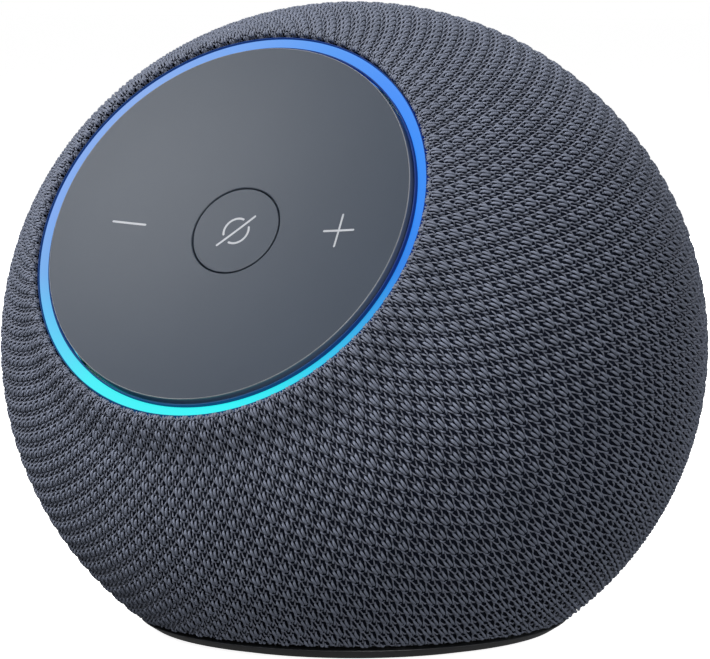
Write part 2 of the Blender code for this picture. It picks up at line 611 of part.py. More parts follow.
def build_main_board(mats):
    node = cylinder("main_board", MAIN_BOARD_R, MAIN_BOARD_Z, MAIN_BOARD_TOP, mats["board"], None,
                    FINE)
    seat = MAIN_BOARD_TOP + GAP
    for i, degrees in enumerate(BOARD_POST_ANGLES):
        place = on_ring(BOARD_POST_RING, degrees)
        cut(node, cylinder(f"board_hole_cutter_{i + 1}", 0.8 + GAP, 7.0, 10.0, None, None, SMALL,
                           place))
        screw(f"board_screw_{i + 1}", place, seat, 5.0, 0.8, 1.6, 1.0, mats["steel"], None)
    shield = box("processor_shield", (-9.0, -12.0, seat), (9.0, 2.0, seat + 2.2), mats["steel"])
    bevel = shield.modifiers.new("edges", "BEVEL")
    bevel.width = 0.4 * MM
    bevel.segments = 2
    can = [(0.0, seat), (3.6, seat), (3.6, seat + 8.4), (3.1, seat + 8.9), (0.0, seat + 8.9)]
    lathe("power_capacitor", can, mats["jack"], None, ROUND, (15.0, 8.0))


def smooth_path(points, count):
    """count points along a Catmull-Rom curve through the given points."""
    ends = [2 * Vector(points[0]) - Vector(points[1])] + [Vector(p) for p in points]
    ends.append(2 * Vector(points[-1]) - Vector(points[-2]))
    path = []
    for i in range(count):
        place = (len(points) - 1) * i / (count - 1)
        k = min(int(place), len(points) - 2)
        t = place - k
        a, b, c, d = ends[k:k + 4]
        path.append(0.5 * (2 * b + (c - a) * t + (2 * a - 5 * b + 4 * c - d) * t * t
                           + (3 * b - a - 3 * c + d) * t**3))
    return path


def wire(name, points, radius, mat):
    curve = bpy.data.curves.new(name, "CURVE")
    curve.dimensions = "3D"
    path = smooth_path(points, 3 * len(points))
    spline = curve.splines.new("POLY")
    spline.points.add(len(path) - 1)
    for knot, place in zip(spline.points, path):
        knot.co = (*(place * MM), 1.0)
    curve.bevel_depth = radius * MM
    curve.bevel_resolution = 2
    curve.use_fill_caps = True
    curve.materials.append(mat)
    node = bpy.data.objects.new(name, curve)
    bpy.context.collection.objects.link(node)


def ribbon(name, points, width, thickness, mat):
    """A flat cable whose width lies along X, swept along a path in the YZ plane."""
    path = smooth_path(points, 3 * len(points))
    bm = bmesh.new()
    rings = []
    for i, place in enumerate(path):
        way = path[min(i + 1, len(path) - 1)] - path[max(i - 1, 0)]
        normal = Vector((0.0, -way.z, way.y)).normalized() * thickness / 2
        side = Vector((width / 2, 0.0, 0.0))
        corners = (normal + side, normal - side, -normal - side, side - normal)
        rings.append([bm.verts.new((place + corner) * MM) for corner in corners])
    for first, second in zip(rings, rings[1:]):
        for i in range(4):
            j = (i + 1) % 4
            bm.faces.new((first[i], first[j], second[j], second[i]))
    bm.faces.new(rings[0])
    bm.faces.new(rings[-1])
    finish_mesh(name, bm, mat, None)


def build_wiring(mats):
    ribbon("control_ribbon", [(8.0, -33.2, 51.8), (8.0, -28.0, 44.0), (8.0, -20.0, 32.0),
                              (8.0, -16.0, 20.0), (8.0, -17.0, 9.5)], 7.0, 0.3, mats["ribbon"])
    wire("woofer_lead", [(-5.0, 31.0, 33.0), (-8.0, 32.0, 27.0), (-12.0, 29.0, 20.0),
                         (-14.0, 24.0, 14.0), (-15.0, 19.0, 10.2)], 0.9, mats["wire"])
    wire("tweeter_lead", [(0.0, -29.2, 24.3), (-4.0, -24.5, 22.0), (-10.0, -19.5, 16.0),
                          (-13.0, -16.5, 10.2)], 0.8, mats["wire"])


def build_materials():
    return {
        "fabric": material("graphite_knit", (0.075, 0.080, 0.095), 0.85),
        "housing": material("black_abs", (0.030, 0.031, 0.034), 0.55),
        "plate": material("graphite_plate", (0.130, 0.130, 0.138), 0.45),
        "light": material("light_diffuser", (0.20, 0.52, 0.95), 0.35),
        "base": material("base_plastic", (0.026, 0.028, 0.032), 0.45),
        "port": material("port_plastic", (0.028, 0.029, 0.032), 0.50),
        "rubber": material("black_rubber", (0.018, 0.018, 0.019), 0.85),
        "carrier": material("carrier_plastic", (0.045, 0.046, 0.050), 0.60),
        "board": material("circuit_board", (0.012, 0.060, 0.030), 0.45),
        "switch": material("switch_metal", (0.55, 0.55, 0.56), 0.35, 1.0),
        "jack": material("black_moulding", (0.020, 0.020, 0.022), 0.40),
        "steel": material("plated_steel", (0.60, 0.60, 0.62), 0.30, 1.0),
        "basket": material("driver_frame", (0.035, 0.035, 0.037), 0.50),
        "cone": material("driver_cone", (0.045, 0.045, 0.048), 0.60),
        "spider": material("woven_spider", (0.42, 0.30, 0.12), 0.85),
        "copper": material("coil_copper", (0.72, 0.33, 0.16), 0.35, 1.0),
        "magnet": material("ferrite", (0.060, 0.060, 0.063), 0.50),
        "silk": material("silk_dome", (0.050, 0.048, 0.050), 0.80),
        "ribbon": material("flat_cable", (0.55, 0.28, 0.06), 0.45),
        "wire": material("wire_sleeve", (0.040, 0.040, 0.042), 0.55),
    }


def main():
    clear_scene()
    mats = build_materials()
    drop = math.radians(DISC_TILT)
    origin = (0.0, -DISC_DROP * math.sin(drop), BALL_Z - DISC_DROP * math.cos(drop))
    disc = empty("disc_axis", origin, 90.0 - DISC_TILT)
    woofer = empty("woofer_axis", (0.0, 0.0, BALL_Z), WOOFER_TILT - 90.0)
    tweeter = empty("tweeter_axis", (0.0, 0.0, BALL_Z), 90.0 + TWEETER_TILT)

    build_fabric(mats["fabric"], disc)
    build_upper_housing(mats["housing"], disc, woofer)
    build_lower_housing(mats["housing"], disc, tweeter)
    perforated_cap("woofer_grille", WOOFER_WINDOW - GAP, 10.0, 3.5, mats["basket"], woofer)
    perforated_cap("tweeter_grille", TWEETER_WINDOW - GAP, 5.2, 1.9, mats["basket"], tweeter)
    build_port(mats)
    build_base(mats)

    across = build_plate(mats["plate"], disc)
    build_button(mats["plate"], disc)
    build_light_ring(mats["light"], disc)
    build_carrier(mats, disc, across)
    build_switches(mats, disc)
    build_face_boards(mats, disc)

    build_woofer(mats, woofer)
    build_tweeter(mats, tweeter)
    build_main_board(mats)
    build_wiring(mats)
    bpy.context.view_layer.update()


main()
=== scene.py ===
"""Smart speaker: the knit, face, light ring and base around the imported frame, with camera and light.

Lengths are in millimetres until a mesh is made. The face's own axes are u (to the plus side), v (up
the face) and n (out of it), from the point O where they meet inside the ball.
"""

import json
import math

import bmesh
import bpy
import numpy as np
from mathutils import Matrix, Vector


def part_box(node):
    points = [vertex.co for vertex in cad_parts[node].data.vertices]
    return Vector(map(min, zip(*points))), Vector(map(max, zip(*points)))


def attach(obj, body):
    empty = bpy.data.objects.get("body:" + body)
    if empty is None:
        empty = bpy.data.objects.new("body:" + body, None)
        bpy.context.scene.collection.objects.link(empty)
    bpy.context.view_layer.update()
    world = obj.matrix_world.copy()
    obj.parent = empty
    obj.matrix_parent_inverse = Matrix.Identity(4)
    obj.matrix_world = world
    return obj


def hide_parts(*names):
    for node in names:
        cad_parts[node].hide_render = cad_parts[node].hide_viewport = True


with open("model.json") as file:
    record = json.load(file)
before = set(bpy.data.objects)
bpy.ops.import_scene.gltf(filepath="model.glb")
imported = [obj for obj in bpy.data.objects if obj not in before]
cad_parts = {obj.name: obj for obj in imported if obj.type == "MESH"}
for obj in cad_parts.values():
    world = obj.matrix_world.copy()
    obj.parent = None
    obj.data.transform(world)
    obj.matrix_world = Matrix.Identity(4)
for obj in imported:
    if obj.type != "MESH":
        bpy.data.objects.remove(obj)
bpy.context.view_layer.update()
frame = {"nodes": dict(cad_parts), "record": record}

MM = 0.001

# ---- ball ----
cover_low, cover_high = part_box("fabric_cover")
BALL_R = cover_high.x / MM  # horizontal half-width
BALL_C = 52.79  # vertical half-height
BALL_Z = cover_high.z / MM - BALL_C
KNIT_EDGE_Z = cover_low.z / MM
CENTRE = np.array([0.0, 0.0, BALL_Z])
SEMI_AXES = np.array([BALL_R, BALL_R, BALL_C])

# ---- face ----
DISC_TILT = math.radians(32.0)
DISC_DROP = 2.28
AXIS_N = np.array([0.0, -math.cos(DISC_TILT), math.sin(DISC_TILT)])
AXIS_U = np.array([1.0, 0.0, 0.0])
AXIS_V = np.array([0.0, math.sin(DISC_TILT), math.cos(DISC_TILT)])
ORIGIN_O = CENTRE - DISC_DROP * AXIS_V
PLATE_R = 28.85
PLATE_T = 1.5
PLATE_CENTRE = 40.66
DISH_R = 123.0
SKIRT_BOTTOM = 39.2
SKIRT_T = 1.5
BUTTON_R = 6.88  # the button is slightly larger and its groove finer here than in the CAD
BUTTON_GAP = 0.17
BUTTON_BOTTOM = 38.5
ICON_OFFSET = 17.56
RING_IN = 29.2
RING_OUT = 31.0
RING_IN_D = 42.6
RING_OUT_D = 43.1
RING_STEM_OUT = 30.4
RING_STEM_BOTTOM = 39.6
RING_FLANGE_OUTER_D = 41.6  # the flange's underside slopes from here at its rim
RING_FLANGE_INNER_D = 41.0  # to here at the stem
SHROUD_BOTTOM = 41.8
COLLAR_RISE = 0.7  # the collar's top stands this far above the diffuser's inner edge
COLLAR_BOTTOM = 41.6
COLLAR_T = 0.2
SHROUD_T = 0.13
SHROUD_RISE = 0.25

# ---- foot ----
BASE_RING_BOTTOM = 0.8
BASE_RING_TOP = 2.16
BASE_RING_BORE = 29.0
BASE_RING_BOTTOM_R = 31.33
BASE_RING_TOP_R = 33.5
FOOT_IN = 24.5
COVER_GAP = 0.3  # round the bottom cover and round the foot in its groove
SCREW_FACE_Z = 1.0
SCREW_HEAD_R = 2.2
SCREW_SHANK_R = 1.0
SCREW_TIP_Z = 4.1
SCREW_HOLE_R = 2.5
SCREW_SEAT_Z = 1.6

# ---- power port ----
PORT_HALF_W = 11.0
PORT_ARCH_Z = 13.0
PORT_BACK_Y = 31.0
PORT_SKIN = 0.3
PORT_GAP = 0.3
JACK_Z = 14.5
JACK_CUP_R = 6.2
JACK_CUP_FLOOR = 38.0
JACK_R = 4.0
JACK_BORE = 2.8
JACK_MOUTH_Y = 39.0
JACK_BORE_FLOOR = 29.5
JACK_PIN_R = 0.95
JACK_BACK_Y = 24.0
JACK_PIN_BACK_Y = 26.0

ROUND = 256  # segments of a large round piece


# ---- meshes ----


def linked(name, data):
    node = bpy.data.objects.new(name, data)
    bpy.context.collection.objects.link(node)
    return node


def add_piece(mesh, material, replaces=(), body="speaker"):
    """A piece named after its mesh that moves with a body of the frame."""
    node = linked(mesh.name, mesh)
    mesh.materials.append(material)
    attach(node, body)
    if replaces:
        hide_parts(*replaces)
    return node


def mesh_from_arrays(name, points, quads, triangles, material_index=None):
    """A smooth-shaded mesh from arrays of points in millimetres and of corner indices."""
    mesh = bpy.data.meshes.new(name)
    mesh.vertices.add(len(points))
    mesh.vertices.foreach_set("co", (points * MM).astype(np.float32).ravel())
    corners = np.concatenate([quads.ravel(), triangles.ravel()]).astype(np.int32)
    mesh.loops.add(len(corners))
    mesh.loops.foreach_set("vertex_index", corners)
    count = len(quads) + len(triangles)
    starts = np.concatenate([np.arange(len(quads)) * 4, len(quads) * 4 + np.arange(len(triangles)) * 3])
    mesh.polygons.add(count)
    mesh.polygons.foreach_set("loop_start", starts.astype(np.int32))
    mesh.polygons.foreach_set("use_smooth", np.ones(count, bool))
    if material_index is not None:
        mesh.polygons.foreach_set("material_index", material_index.astype(np.int32))
    mesh.update(calc_edges=True)
    mesh.validate()
    return mesh


def aligned(*values):
    return np.broadcast_arrays(*(np.asarray(x, float) for x in values))


def face_point(u, v, d):
    """Points given along the face's axes, as an array of places."""
    u, v, d = aligned(u, v, d)
    return ORIGIN_O + u[..., None] * AXIS_U + v[..., None] * AXIS_V + d[..., None] * AXIS_N


def table_point(u, v, d):
    """For pieces turned about the ball's upright axis: d is the height over the table."""
    return np.stack(aligned(u, v, d), -1)


def back_point(u, v, d):
    """For pieces turned about the power socket's axis: d runs out of the back."""
    u, v, d = aligned(u, v, d)
    return np.stack([-u, d, JACK_Z + v], -1)


def loops_mesh(name, loops, closed_path=False, cap_first=None, cap_last=None):
    """A mesh from loops of points, each joined to the next; caps are single points or None."""
    loops = [np.asarray(loop, float) for loop in loops]
    n = len(loops[0])
    points = np.concatenate(loops)
    around = np.arange(n)
    following = (around + 1) % n
    quads = []
    for i in range(len(loops) if closed_path else len(loops) - 1):
        a, b = i * n, ((i + 1) % len(loops)) * n
        quads.append(np.stack([a + around, a + following, b + following, b + around], -1))
    triangles = []
    end = (len(loops) - 1) * n
    for cap, a, b in ((cap_first, following, around), (cap_last, end + around, end + following)):
        if cap is not None:
            points = np.concatenate([points, [cap]])
            triangles.append(np.stack([a, b, np.full(n, len(points) - 1)], -1))
    triangles = np.concatenate(triangles) if triangles else np.zeros((0, 3), int)
    mesh = mesh_from_arrays(name, points, np.concatenate(quads), triangles)
    outward(mesh)
    return mesh


def mesh_from_bmesh(name, bm):
    mesh = bpy.data.meshes.new(name)
    bm.to_mesh(mesh)
    bm.free()
    return mesh


def outward(mesh):
    bm = bmesh.new()
    bm.from_mesh(mesh)
    bmesh.ops.recalc_face_normals(bm, faces=bm.faces)
    bm.to_mesh(mesh)
    bm.free()


def crease(mesh, degrees=35.0):
    """Marks edges sharper than an angle, so that smooth shading stops there."""
    bm = bmesh.new()
    bm.from_mesh(mesh)
    for edge in bm.edges:
        if len(edge.link_faces) == 2:
            edge.smooth = edge.calc_face_angle(0.0) < math.radians(degrees)
    bm.to_mesh(mesh)
    bm.free()


def fillet(points, radii, steps=5):
    """A profile's corners rounded: each point of (r, d) gets an arc of its own radius."""
    points = [np.array(p, float) for p in points]
    n = len(points)
    out = []
    for i, point in enumerate(points):
        radius = radii[i]
        before, after = points[(i - 1) % n] - point, points[(i + 1) % n] - point
        length_a, length_b = np.linalg.norm(before), np.linalg.norm(after)
        if radius <= 0 or length_a < 1e-6 or length_b < 1e-6:
            out.append(point)
            continue
        a, b = before / length_a, after / length_b
        half = 0.5 * math.acos(float(np.clip(a @ b, -1, 1)))
        reach = min(radius / math.tan(half), 0.49 * length_a, 0.49 * length_b)
        for j in range(steps + 1):
            t = j / steps
            start, end = point + a * reach, point + b * reach
            out.append((1 - t) ** 2 * start + 2 * t * (1 - t) * point + t ** 2 * end)
    return out


def turned(name, profile, place, steps=ROUND, cap=False):
    """A closed profile of (radius, distance) turned about an axis; with cap, it starts and ends on it."""
    angles = 2 * math.pi * np.arange(steps) / steps
    c, s = np.cos(angles), np.sin(angles)
    loops = [place(r * c, r * s, d) for r, d in profile if r > 1e-6]
    caps = [place(0.0, 0.0, d) if cap else None for _, d in (profile[0], profile[-1])]
    mesh = loops_mesh(name, loops, not cap, *caps)
    crease(mesh)
    return mesh


def add_turned(name, profile, place, material, replaces=(), steps=ROUND, cap=False):
    return add_piece(turned(name, profile, place, steps, cap), material, replaces)


def dish(r):
    """Height of the dished face at a radius, along the face's axis."""
    return PLATE_CENTRE + DISH_R - np.sqrt(DISH_R ** 2 - np.asarray(r, float) ** 2)


def apply_boolean(node, tools):
    """Cuts the tools out of the node and removes them."""
    for tool in tools:
        modifier = node.modifiers.new("cut", "BOOLEAN")
        modifier.operation = "DIFFERENCE"
        modifier.solver = "EXACT"
        modifier.object = tool
    bpy.context.view_layer.update()
    evaluated = node.evaluated_get(bpy.context.evaluated_depsgraph_get())
    mesh = bpy.data.meshes.new_from_object(evaluated)
    node.modifiers.clear()
    old = node.data
    node.data = mesh
    bpy.data.meshes.remove(old)
    for tool in tools:
        bpy.data.objects.remove(tool)
    crease(node.data)


# ---- materials ----


def set_stops(node, stops):
    """Fills a colour ramp with (position, colour) stops."""
    elements = node.color_ramp.elements
    while len(elements) > 1:
        elements.remove(elements[-1])
    elements[0].position, elements[0].color = stops[0][0], (*stops[0][1], 1.0)
    for position, colour in stops[1:]:
        elements.new(position).color = (*colour, 1.0)


class Nodes:
    """One material's node tree, with short calls for the nodes that it uses."""

    def __init__(self, name):
        self.material = bpy.data.materials.new(name)
        self.material.use_nodes = True
        self.tree = self.material.node_tree
        self.tree.nodes.clear()
        self.shader = self.add("ShaderNodeBsdfPrincipled")
        out = self.add("ShaderNodeOutputMaterial")
        self.link(self.shader.outputs["BSDF"], out.inputs["Surface"])
        self.where = self.add("ShaderNodeTexCoord").outputs["Object"]

    def add(self, kind, inputs=None, **values):
        node = self.tree.nodes.new(kind)
        for key, value in values.items():
            setattr(node, key, value)
        for key, value in (inputs or {}).items():
            node.inputs[key].default_value = value
        return node

    def link(self, a, b):
        self.tree.links.new(a, b)

    def set(self, **values):
        for key, value in values.items():
            socket = self.shader.inputs[key.replace("_", " ")]
            socket.default_value = (*value, 1.0) if isinstance(value, tuple) else value

    def noise(self, size, detail=3.0, stretch=(1.0, 1.0, 1.0)):
        """Noise whose features are about size millimetres across."""
        mapping = self.add("ShaderNodeMapping", {"Scale": [x / (size * MM) for x in stretch]})
        self.link(self.where, mapping.inputs["Vector"])
        node = self.add("ShaderNodeTexNoise", {"Scale": 1.0, "Detail": detail})
        self.link(mapping.outputs["Vector"], node.inputs["Vector"])
        return node.outputs["Fac"]

    def wave(self, direction, scale, distortion=0.0):
        node = self.add("ShaderNodeTexWave", {"Scale": scale, "Distortion": distortion},
                        bands_direction=direction)
        self.link(self.where, node.inputs["Vector"])
        return node.outputs["Fac"]

    def ramp(self, value, stops):
        node = self.add("ShaderNodeValToRGB")
        set_stops(node, stops)
        self.link(value, node.inputs["Fac"])
        return node.outputs["Color"]

    def coloured(self, value, stops):
        self.link(self.ramp(value, stops), self.shader.inputs["Base Color"])

    def colour_between(self, value, a, b):
        self.coloured(value, [(0.3, a), (0.7, b)])

    def rough_between(self, value, a, b):
        node = self.add("ShaderNodeMapRange", {"From Min": 0.3, "From Max": 0.7, "To Min": a, "To Max": b})
        self.link(value, node.inputs["Value"])
        self.link(node.outputs["Result"], self.shader.inputs["Roughness"])

    def bump(self, value, height, strength=1.0):
        node = self.add("ShaderNodeBump", {"Distance": height * MM, "Strength": strength})
        self.link(value, node.inputs["Height"])
        self.link(node.outputs["Normal"], self.shader.inputs["Normal"])


def linear(*srgb):
    """An sRGB colour of 0 to 255 as the linear values that a shader takes."""
    out = []
    for value in srgb:
        x = value / 255.0
        out.append(x / 12.92 if x <= 0.04045 else ((x + 0.055) / 1.055) ** 2.4)
    return tuple(out)


def shade(colour, factor):
    return tuple(x * factor for x in colour)


def moulded(name, colour, roughness, grain, depth, mottle=0.12, **values):
    """Moulded plastic: a fine spark-eroded grain, faint mottle and uneven gloss."""
    m = Nodes(name)
    fine = m.noise(grain, 2.0)
    broad = m.noise(9.0, 4.0)
    m.colour_between(broad, shade(colour, 1 - mottle), shade(colour, 1 + mottle))
    m.rough_between(fine, roughness - 0.07, roughness + 0.07)
    m.bump(fine, depth)
    m.set(**values)
    return m.material


def yarn(name, colour):
    """Fuzzy yarn: a fine mottle of fibres over a broader one, and a cloth's sheen."""
    m = Nodes(name)
    fibre = m.noise(0.22, 3.0)
    broad = m.noise(6.0, 3.0)
    mix = m.add("ShaderNodeMath", {1: 0.6}, operation="MULTIPLY_ADD")
    m.link(fibre, mix.inputs[0])
    scaled = m.add("ShaderNodeMath", {1: 0.4}, operation="MULTIPLY")
    m.link(broad, scaled.inputs[0])
    m.link(scaled.outputs[0], mix.inputs[2])
    m.colour_between(mix.outputs[0], shade(colour, 0.72), shade(colour, 1.28))
    m.rough_between(fibre, 0.72, 0.9)
    m.bump(fibre, 0.05, 0.8)
    m.set(Sheen_Weight=0.3, Sheen_Roughness=0.45, Sheen_Tint=linear(152, 165, 188), Specular_IOR_Level=0.35)
    return m.material


# ---- knit ----

WALES = 86  # hearts in one row round the face's axis
WALE = 2 * math.pi / WALES
PANELS = 15
EXTRA_ROWS = 3  # laid past the first and the last row; what is hidden is dropped
ROW_PITCH = math.radians(1.9)
LIP_R = 31.2  # the knit turns in round the light ring at this radius
LIP_TOP = 44.3  # and this far out, so it stands above the ring
LIP_ROLL = 0.75  # radius of that turn
LIP_LEAN = math.radians(48.0)  # where that turn starts, the knit's normal stands this far from the face
LIP_START_R = LIP_R + LIP_ROLL * (1 + math.cos(LIP_LEAN))
LIP_START_D = LIP_TOP - LIP_ROLL * (1 - math.sin(LIP_LEAN))
KNIT_START = math.atan2(LIP_START_R, LIP_START_D)
RING_EDGE_RAY = math.hypot(LIP_START_R, LIP_START_D)
FIRST_ROW = -0.99  # in rows from the lip
FIRST_WALE = math.radians(-0.75)
EASE = math.radians(7.0)  # over this angle the knit eases from the ring out to the ball
ROLL = 0.55  # radius of the turned edge at the foot and the port
TUCK = 1.2  # how far a turned edge goes in
FOLD_DEPTH = 0.8  # share of a turn's radius that the knit may take up
FOLD_APPROACH = 0.8  # that limit comes in over this run before the turn
CELL_REFERENCE = 3.65  # millimetres across a heart for which the widths below are given
LOOP_CELL = 3.0  # where hearts stand further apart than this their loops stay this close
CELL_TIGHT = 2.2  # below this the strands thin with the cell
CLOSING_ROW = math.radians(169.0)  # the last row, inside the port's opening
POLE_MARGIN = 0.01  # no strand comes nearer to the rows' far pole than this angle
PAST_WALL = 0.5  # strands this far past the turn round the light ring are hidden, and left out
PAST_TURN = 1.0  # and so are those this far past the start of the turn at the foot or the port
CORNER_RUN = 0.4  # strands this far into both of those turns would fold twice
END_REACH = 0.06  # a strand's end point stands at most this far past its last ring
LINING_DEPTH = 0.66
LINING_STEPS = 230
LINING_SIDES = 344
LINING_LIP_STEPS = 12
LINING_LIP = 0.035  # angle by which the lining goes in round the light ring
LINING_END = math.radians(172.0)
LINING_RUN = 1.6  # how far the lining goes in at the foot and the port


def directions(theta, phi):
    """Unit vectors from O at an angle theta from the face's axis and phi round it."""
    across = np.cos(phi)[..., None] * AXIS_U + np.sin(phi)[..., None] * AXIS_V
    return np.cos(theta)[..., None] * AXIS_N + np.sin(theta)[..., None] * across


def ball_ray(way):
    """Distance from O to the ball along unit directions."""
    a = ((way / SEMI_AXES) ** 2).sum(-1)
    start = (ORIGIN_O - CENTRE) / SEMI_AXES
    b = 2 * ((way / SEMI_AXES) * start).sum(-1)
    c = (start ** 2).sum() - 1
    return (-b + np.sqrt(b * b - 4 * a * c)) / (2 * a)


def soft_limit(x, limit):
    """Grows like x at first and never passes the limit."""
    return limit * (1 - np.exp(-np.maximum(x, 0) / limit))


def roll_in(run):
    """A turned edge: how far along and how far in a point goes that is run past the turn's start."""
    run = soft_limit(run, TUCK + ROLL)
    angle = np.minimum(run / ROLL, math.pi / 2)
    return ROLL * np.sin(angle), ROLL * (1 - np.cos(angle)) + np.maximum(run - ROLL * math.pi / 2, 0)


def ball_normal(points):
    normal = (points - CENTRE) / SEMI_AXES ** 2
    return normal / np.linalg.norm(normal, axis=-1, keepdims=True)


def base_run(points):
    """How far each point is past the start of the turn at the knit's lower edge, with that start."""
    start_z = KNIT_EDGE_Z + ROLL * 0.6
    radius = BALL_R * math.sqrt(1 - ((start_z - BALL_Z) / BALL_C) ** 2)
    slope = np.array([(BALL_Z - start_z) / BALL_C ** 2, radius / BALL_R ** 2])
    slope /= np.linalg.norm(slope)  # the way down the surface is -slope, in radius and height
    return (start_z - points[..., 2]) / slope[1], radius, start_z, slope


def fold_base(points):
    run, radius, start_z, slope = base_run(points)
    along, inward = roll_in(run)
    azimuth = np.arctan2(points[..., 1], points[..., 0])
    r = radius - slope[0] * along - slope[1] * inward
    z = start_z - slope[1] * along + slope[0] * inward
    folded = np.stack([r * np.cos(azimuth), r * np.sin(azimuth), z], -1)
    return np.where((run > 0)[..., None], folded, points)


def arch_distance(x, z):
    """Distance outside the power port's arch, and the way out of it, in x and z."""
    half = PORT_HALF_W + PORT_GAP
    round_part = z > PORT_ARCH_Z
    dz = np.where(round_part, z - PORT_ARCH_Z, 0.0)
    reach = np.hypot(x, dz)
    safe = np.maximum(reach, 1e-6)
    return reach - half, x / safe, dz / safe


def arch_run(points):
    """How far each point is past the start of the turn round the power port."""
    distance, _, _ = arch_distance(points[..., 0], points[..., 2])
    return np.where(points[..., 1] > 0, ROLL - distance, -1.0)


def ball_back(x, z):
    """How far behind the middle the ball's surface is at x and z."""
    inside = 1 - (x / BALL_R) ** 2 - ((z - BALL_Z) / BALL_C) ** 2
    return BALL_R * np.sqrt(np.maximum(inside, 0.01))


def fold_arch(points):
    _, way_x, way_z = arch_distance(points[..., 0], points[..., 2])
    run = arch_run(points)
    along, inward = roll_in(run)
    shift = np.maximum(run, 0) - along
    x = points[..., 0] + way_x * shift
    z = points[..., 2] + way_z * shift
    y = points[..., 1] + ball_back(x, z) - ball_back(points[..., 0], points[..., 2])
    folded = np.stack([x, y, z], -1)
    folded -= ball_normal(folded) * inward[..., None]
    return np.where((run > 0)[..., None], folded, points)


def lip_run(theta):
    """How far the angle theta is past the start of the turn round the light ring."""
    return (KNIT_START - theta) * RING_EDGE_RAY


def fold_lip(points, phi, run):
    """Takes points run past the start of the turn round the ring over its arc and down its wall."""
    outwards = np.cos(phi)[..., None] * AXIS_U + np.sin(phi)[..., None] * AXIS_V
    sweep = math.pi - LIP_LEAN
    angle = LIP_LEAN + np.clip(run / LIP_ROLL, 0, sweep)
    wall = soft_limit(run - LIP_ROLL * sweep, TUCK)
    r = LIP_R + LIP_ROLL + LIP_ROLL * np.cos(angle)
    d = LIP_TOP - LIP_ROLL + LIP_ROLL * np.sin(angle) - wall
    folded = ORIGIN_O + outwards * r[..., None] + AXIS_N * d[..., None]
    return np.where((run > 0)[..., None], folded, points)


def knit_place(theta, phi):
    """The knit's nominal outside at angles theta from the face's axis and phi around it."""
    held = np.maximum(theta, KNIT_START)
    ease = np.clip((held - KNIT_START) / EASE, 0, 1)
    ease = 1 - ease * ease * (3 - 2 * ease)
    edge = ball_ray(directions(np.full_like(phi, KNIT_START), phi))
    ray = ball_ray(directions(held, phi)) + (RING_EDGE_RAY - edge) * ease
    points = ORIGIN_O + directions(held, phi) * ray[..., None]
    points = fold_lip(points, phi, lip_run(theta))
    return fold_arch(fold_base(points)), points


def deepest(theta, flat):
    """How deep under the surface the knit may go: less in a turned edge, or it would cross itself."""
    limit = np.ones_like(theta)
    for run, roll in ((lip_run(theta), LIP_ROLL), (base_run(flat)[0], ROLL), (arch_run(flat), ROLL)):
        near = np.clip(1 + run / FOLD_APPROACH, 0, 1)
        limit = np.minimum(limit, 1 + (FOLD_DEPTH * roll - 1) * near)
    return limit


def knit_frame(theta, phi):
    """Places on the knit with the outward normal at each."""
    step = 1e-4
    place, flat = knit_place(theta, phi)
    down = knit_place(theta + step, phi)[0] - knit_place(theta - step, phi)[0]
    turn = knit_place(theta, phi + step)[0] - knit_place(theta, phi - step)[0]
    normal = np.cross(down, turn)
    length = np.linalg.norm(normal, axis=-1, keepdims=True)
    plain = ball_normal(flat)
    normal = np.where(length > 1e-12, normal / np.maximum(length, 1e-12), plain)
    return place, normal, flat


# Each strand: centre line of (across in hearts, along in rows, depth below the crest in mm),
# half-width and half-height in mm at each point, and sides. A mirrored twin is made of each.
LOOP = dict(path=[(0.118, -0.03, 0.74), (0.110, 0.10, 0.29), (0.100, 0.33, 0.215), (0.086, 0.58, 0.215),
                  (0.071, 0.81, 0.25), (0.054, 0.99, 0.74)],
            width=[0.10, 0.19, 0.235, 0.225, 0.175, 0.10], height=[0.10, 0.17, 0.205, 0.205, 0.17, 0.10],
            sides=8)
ARM = dict(path=[(0.200, 0.76, 0.74), (0.165, 0.92, 0.28), (0.100, 1.13, 0.245), (0.044, 1.36, 0.72)],
           width=[0.10, 0.155, 0.16, 0.10], height=[0.09, 0.14, 0.14, 0.09], sides=6)
THIN_ARM = dict(path=[(0.145, 1.38, 0.72), (0.080, 1.72, 0.27), (0.008, 2.08, 0.70)],
                width=[0.10, 0.135, 0.11], height=[0.08, 0.12, 0.09], sides=5)
LINK = dict(path=[(0.150, 0.92, 0.72), (0.235, 1.36, 0.33), (0.322, 1.84, 0.72)],
            width=[0.10, 0.14, 0.10], height=[0.08, 0.12, 0.09], sides=5)
STRANDS = ((LOOP, 0), (ARM, 0), (THIN_ARM, 1), (LINK, 1))


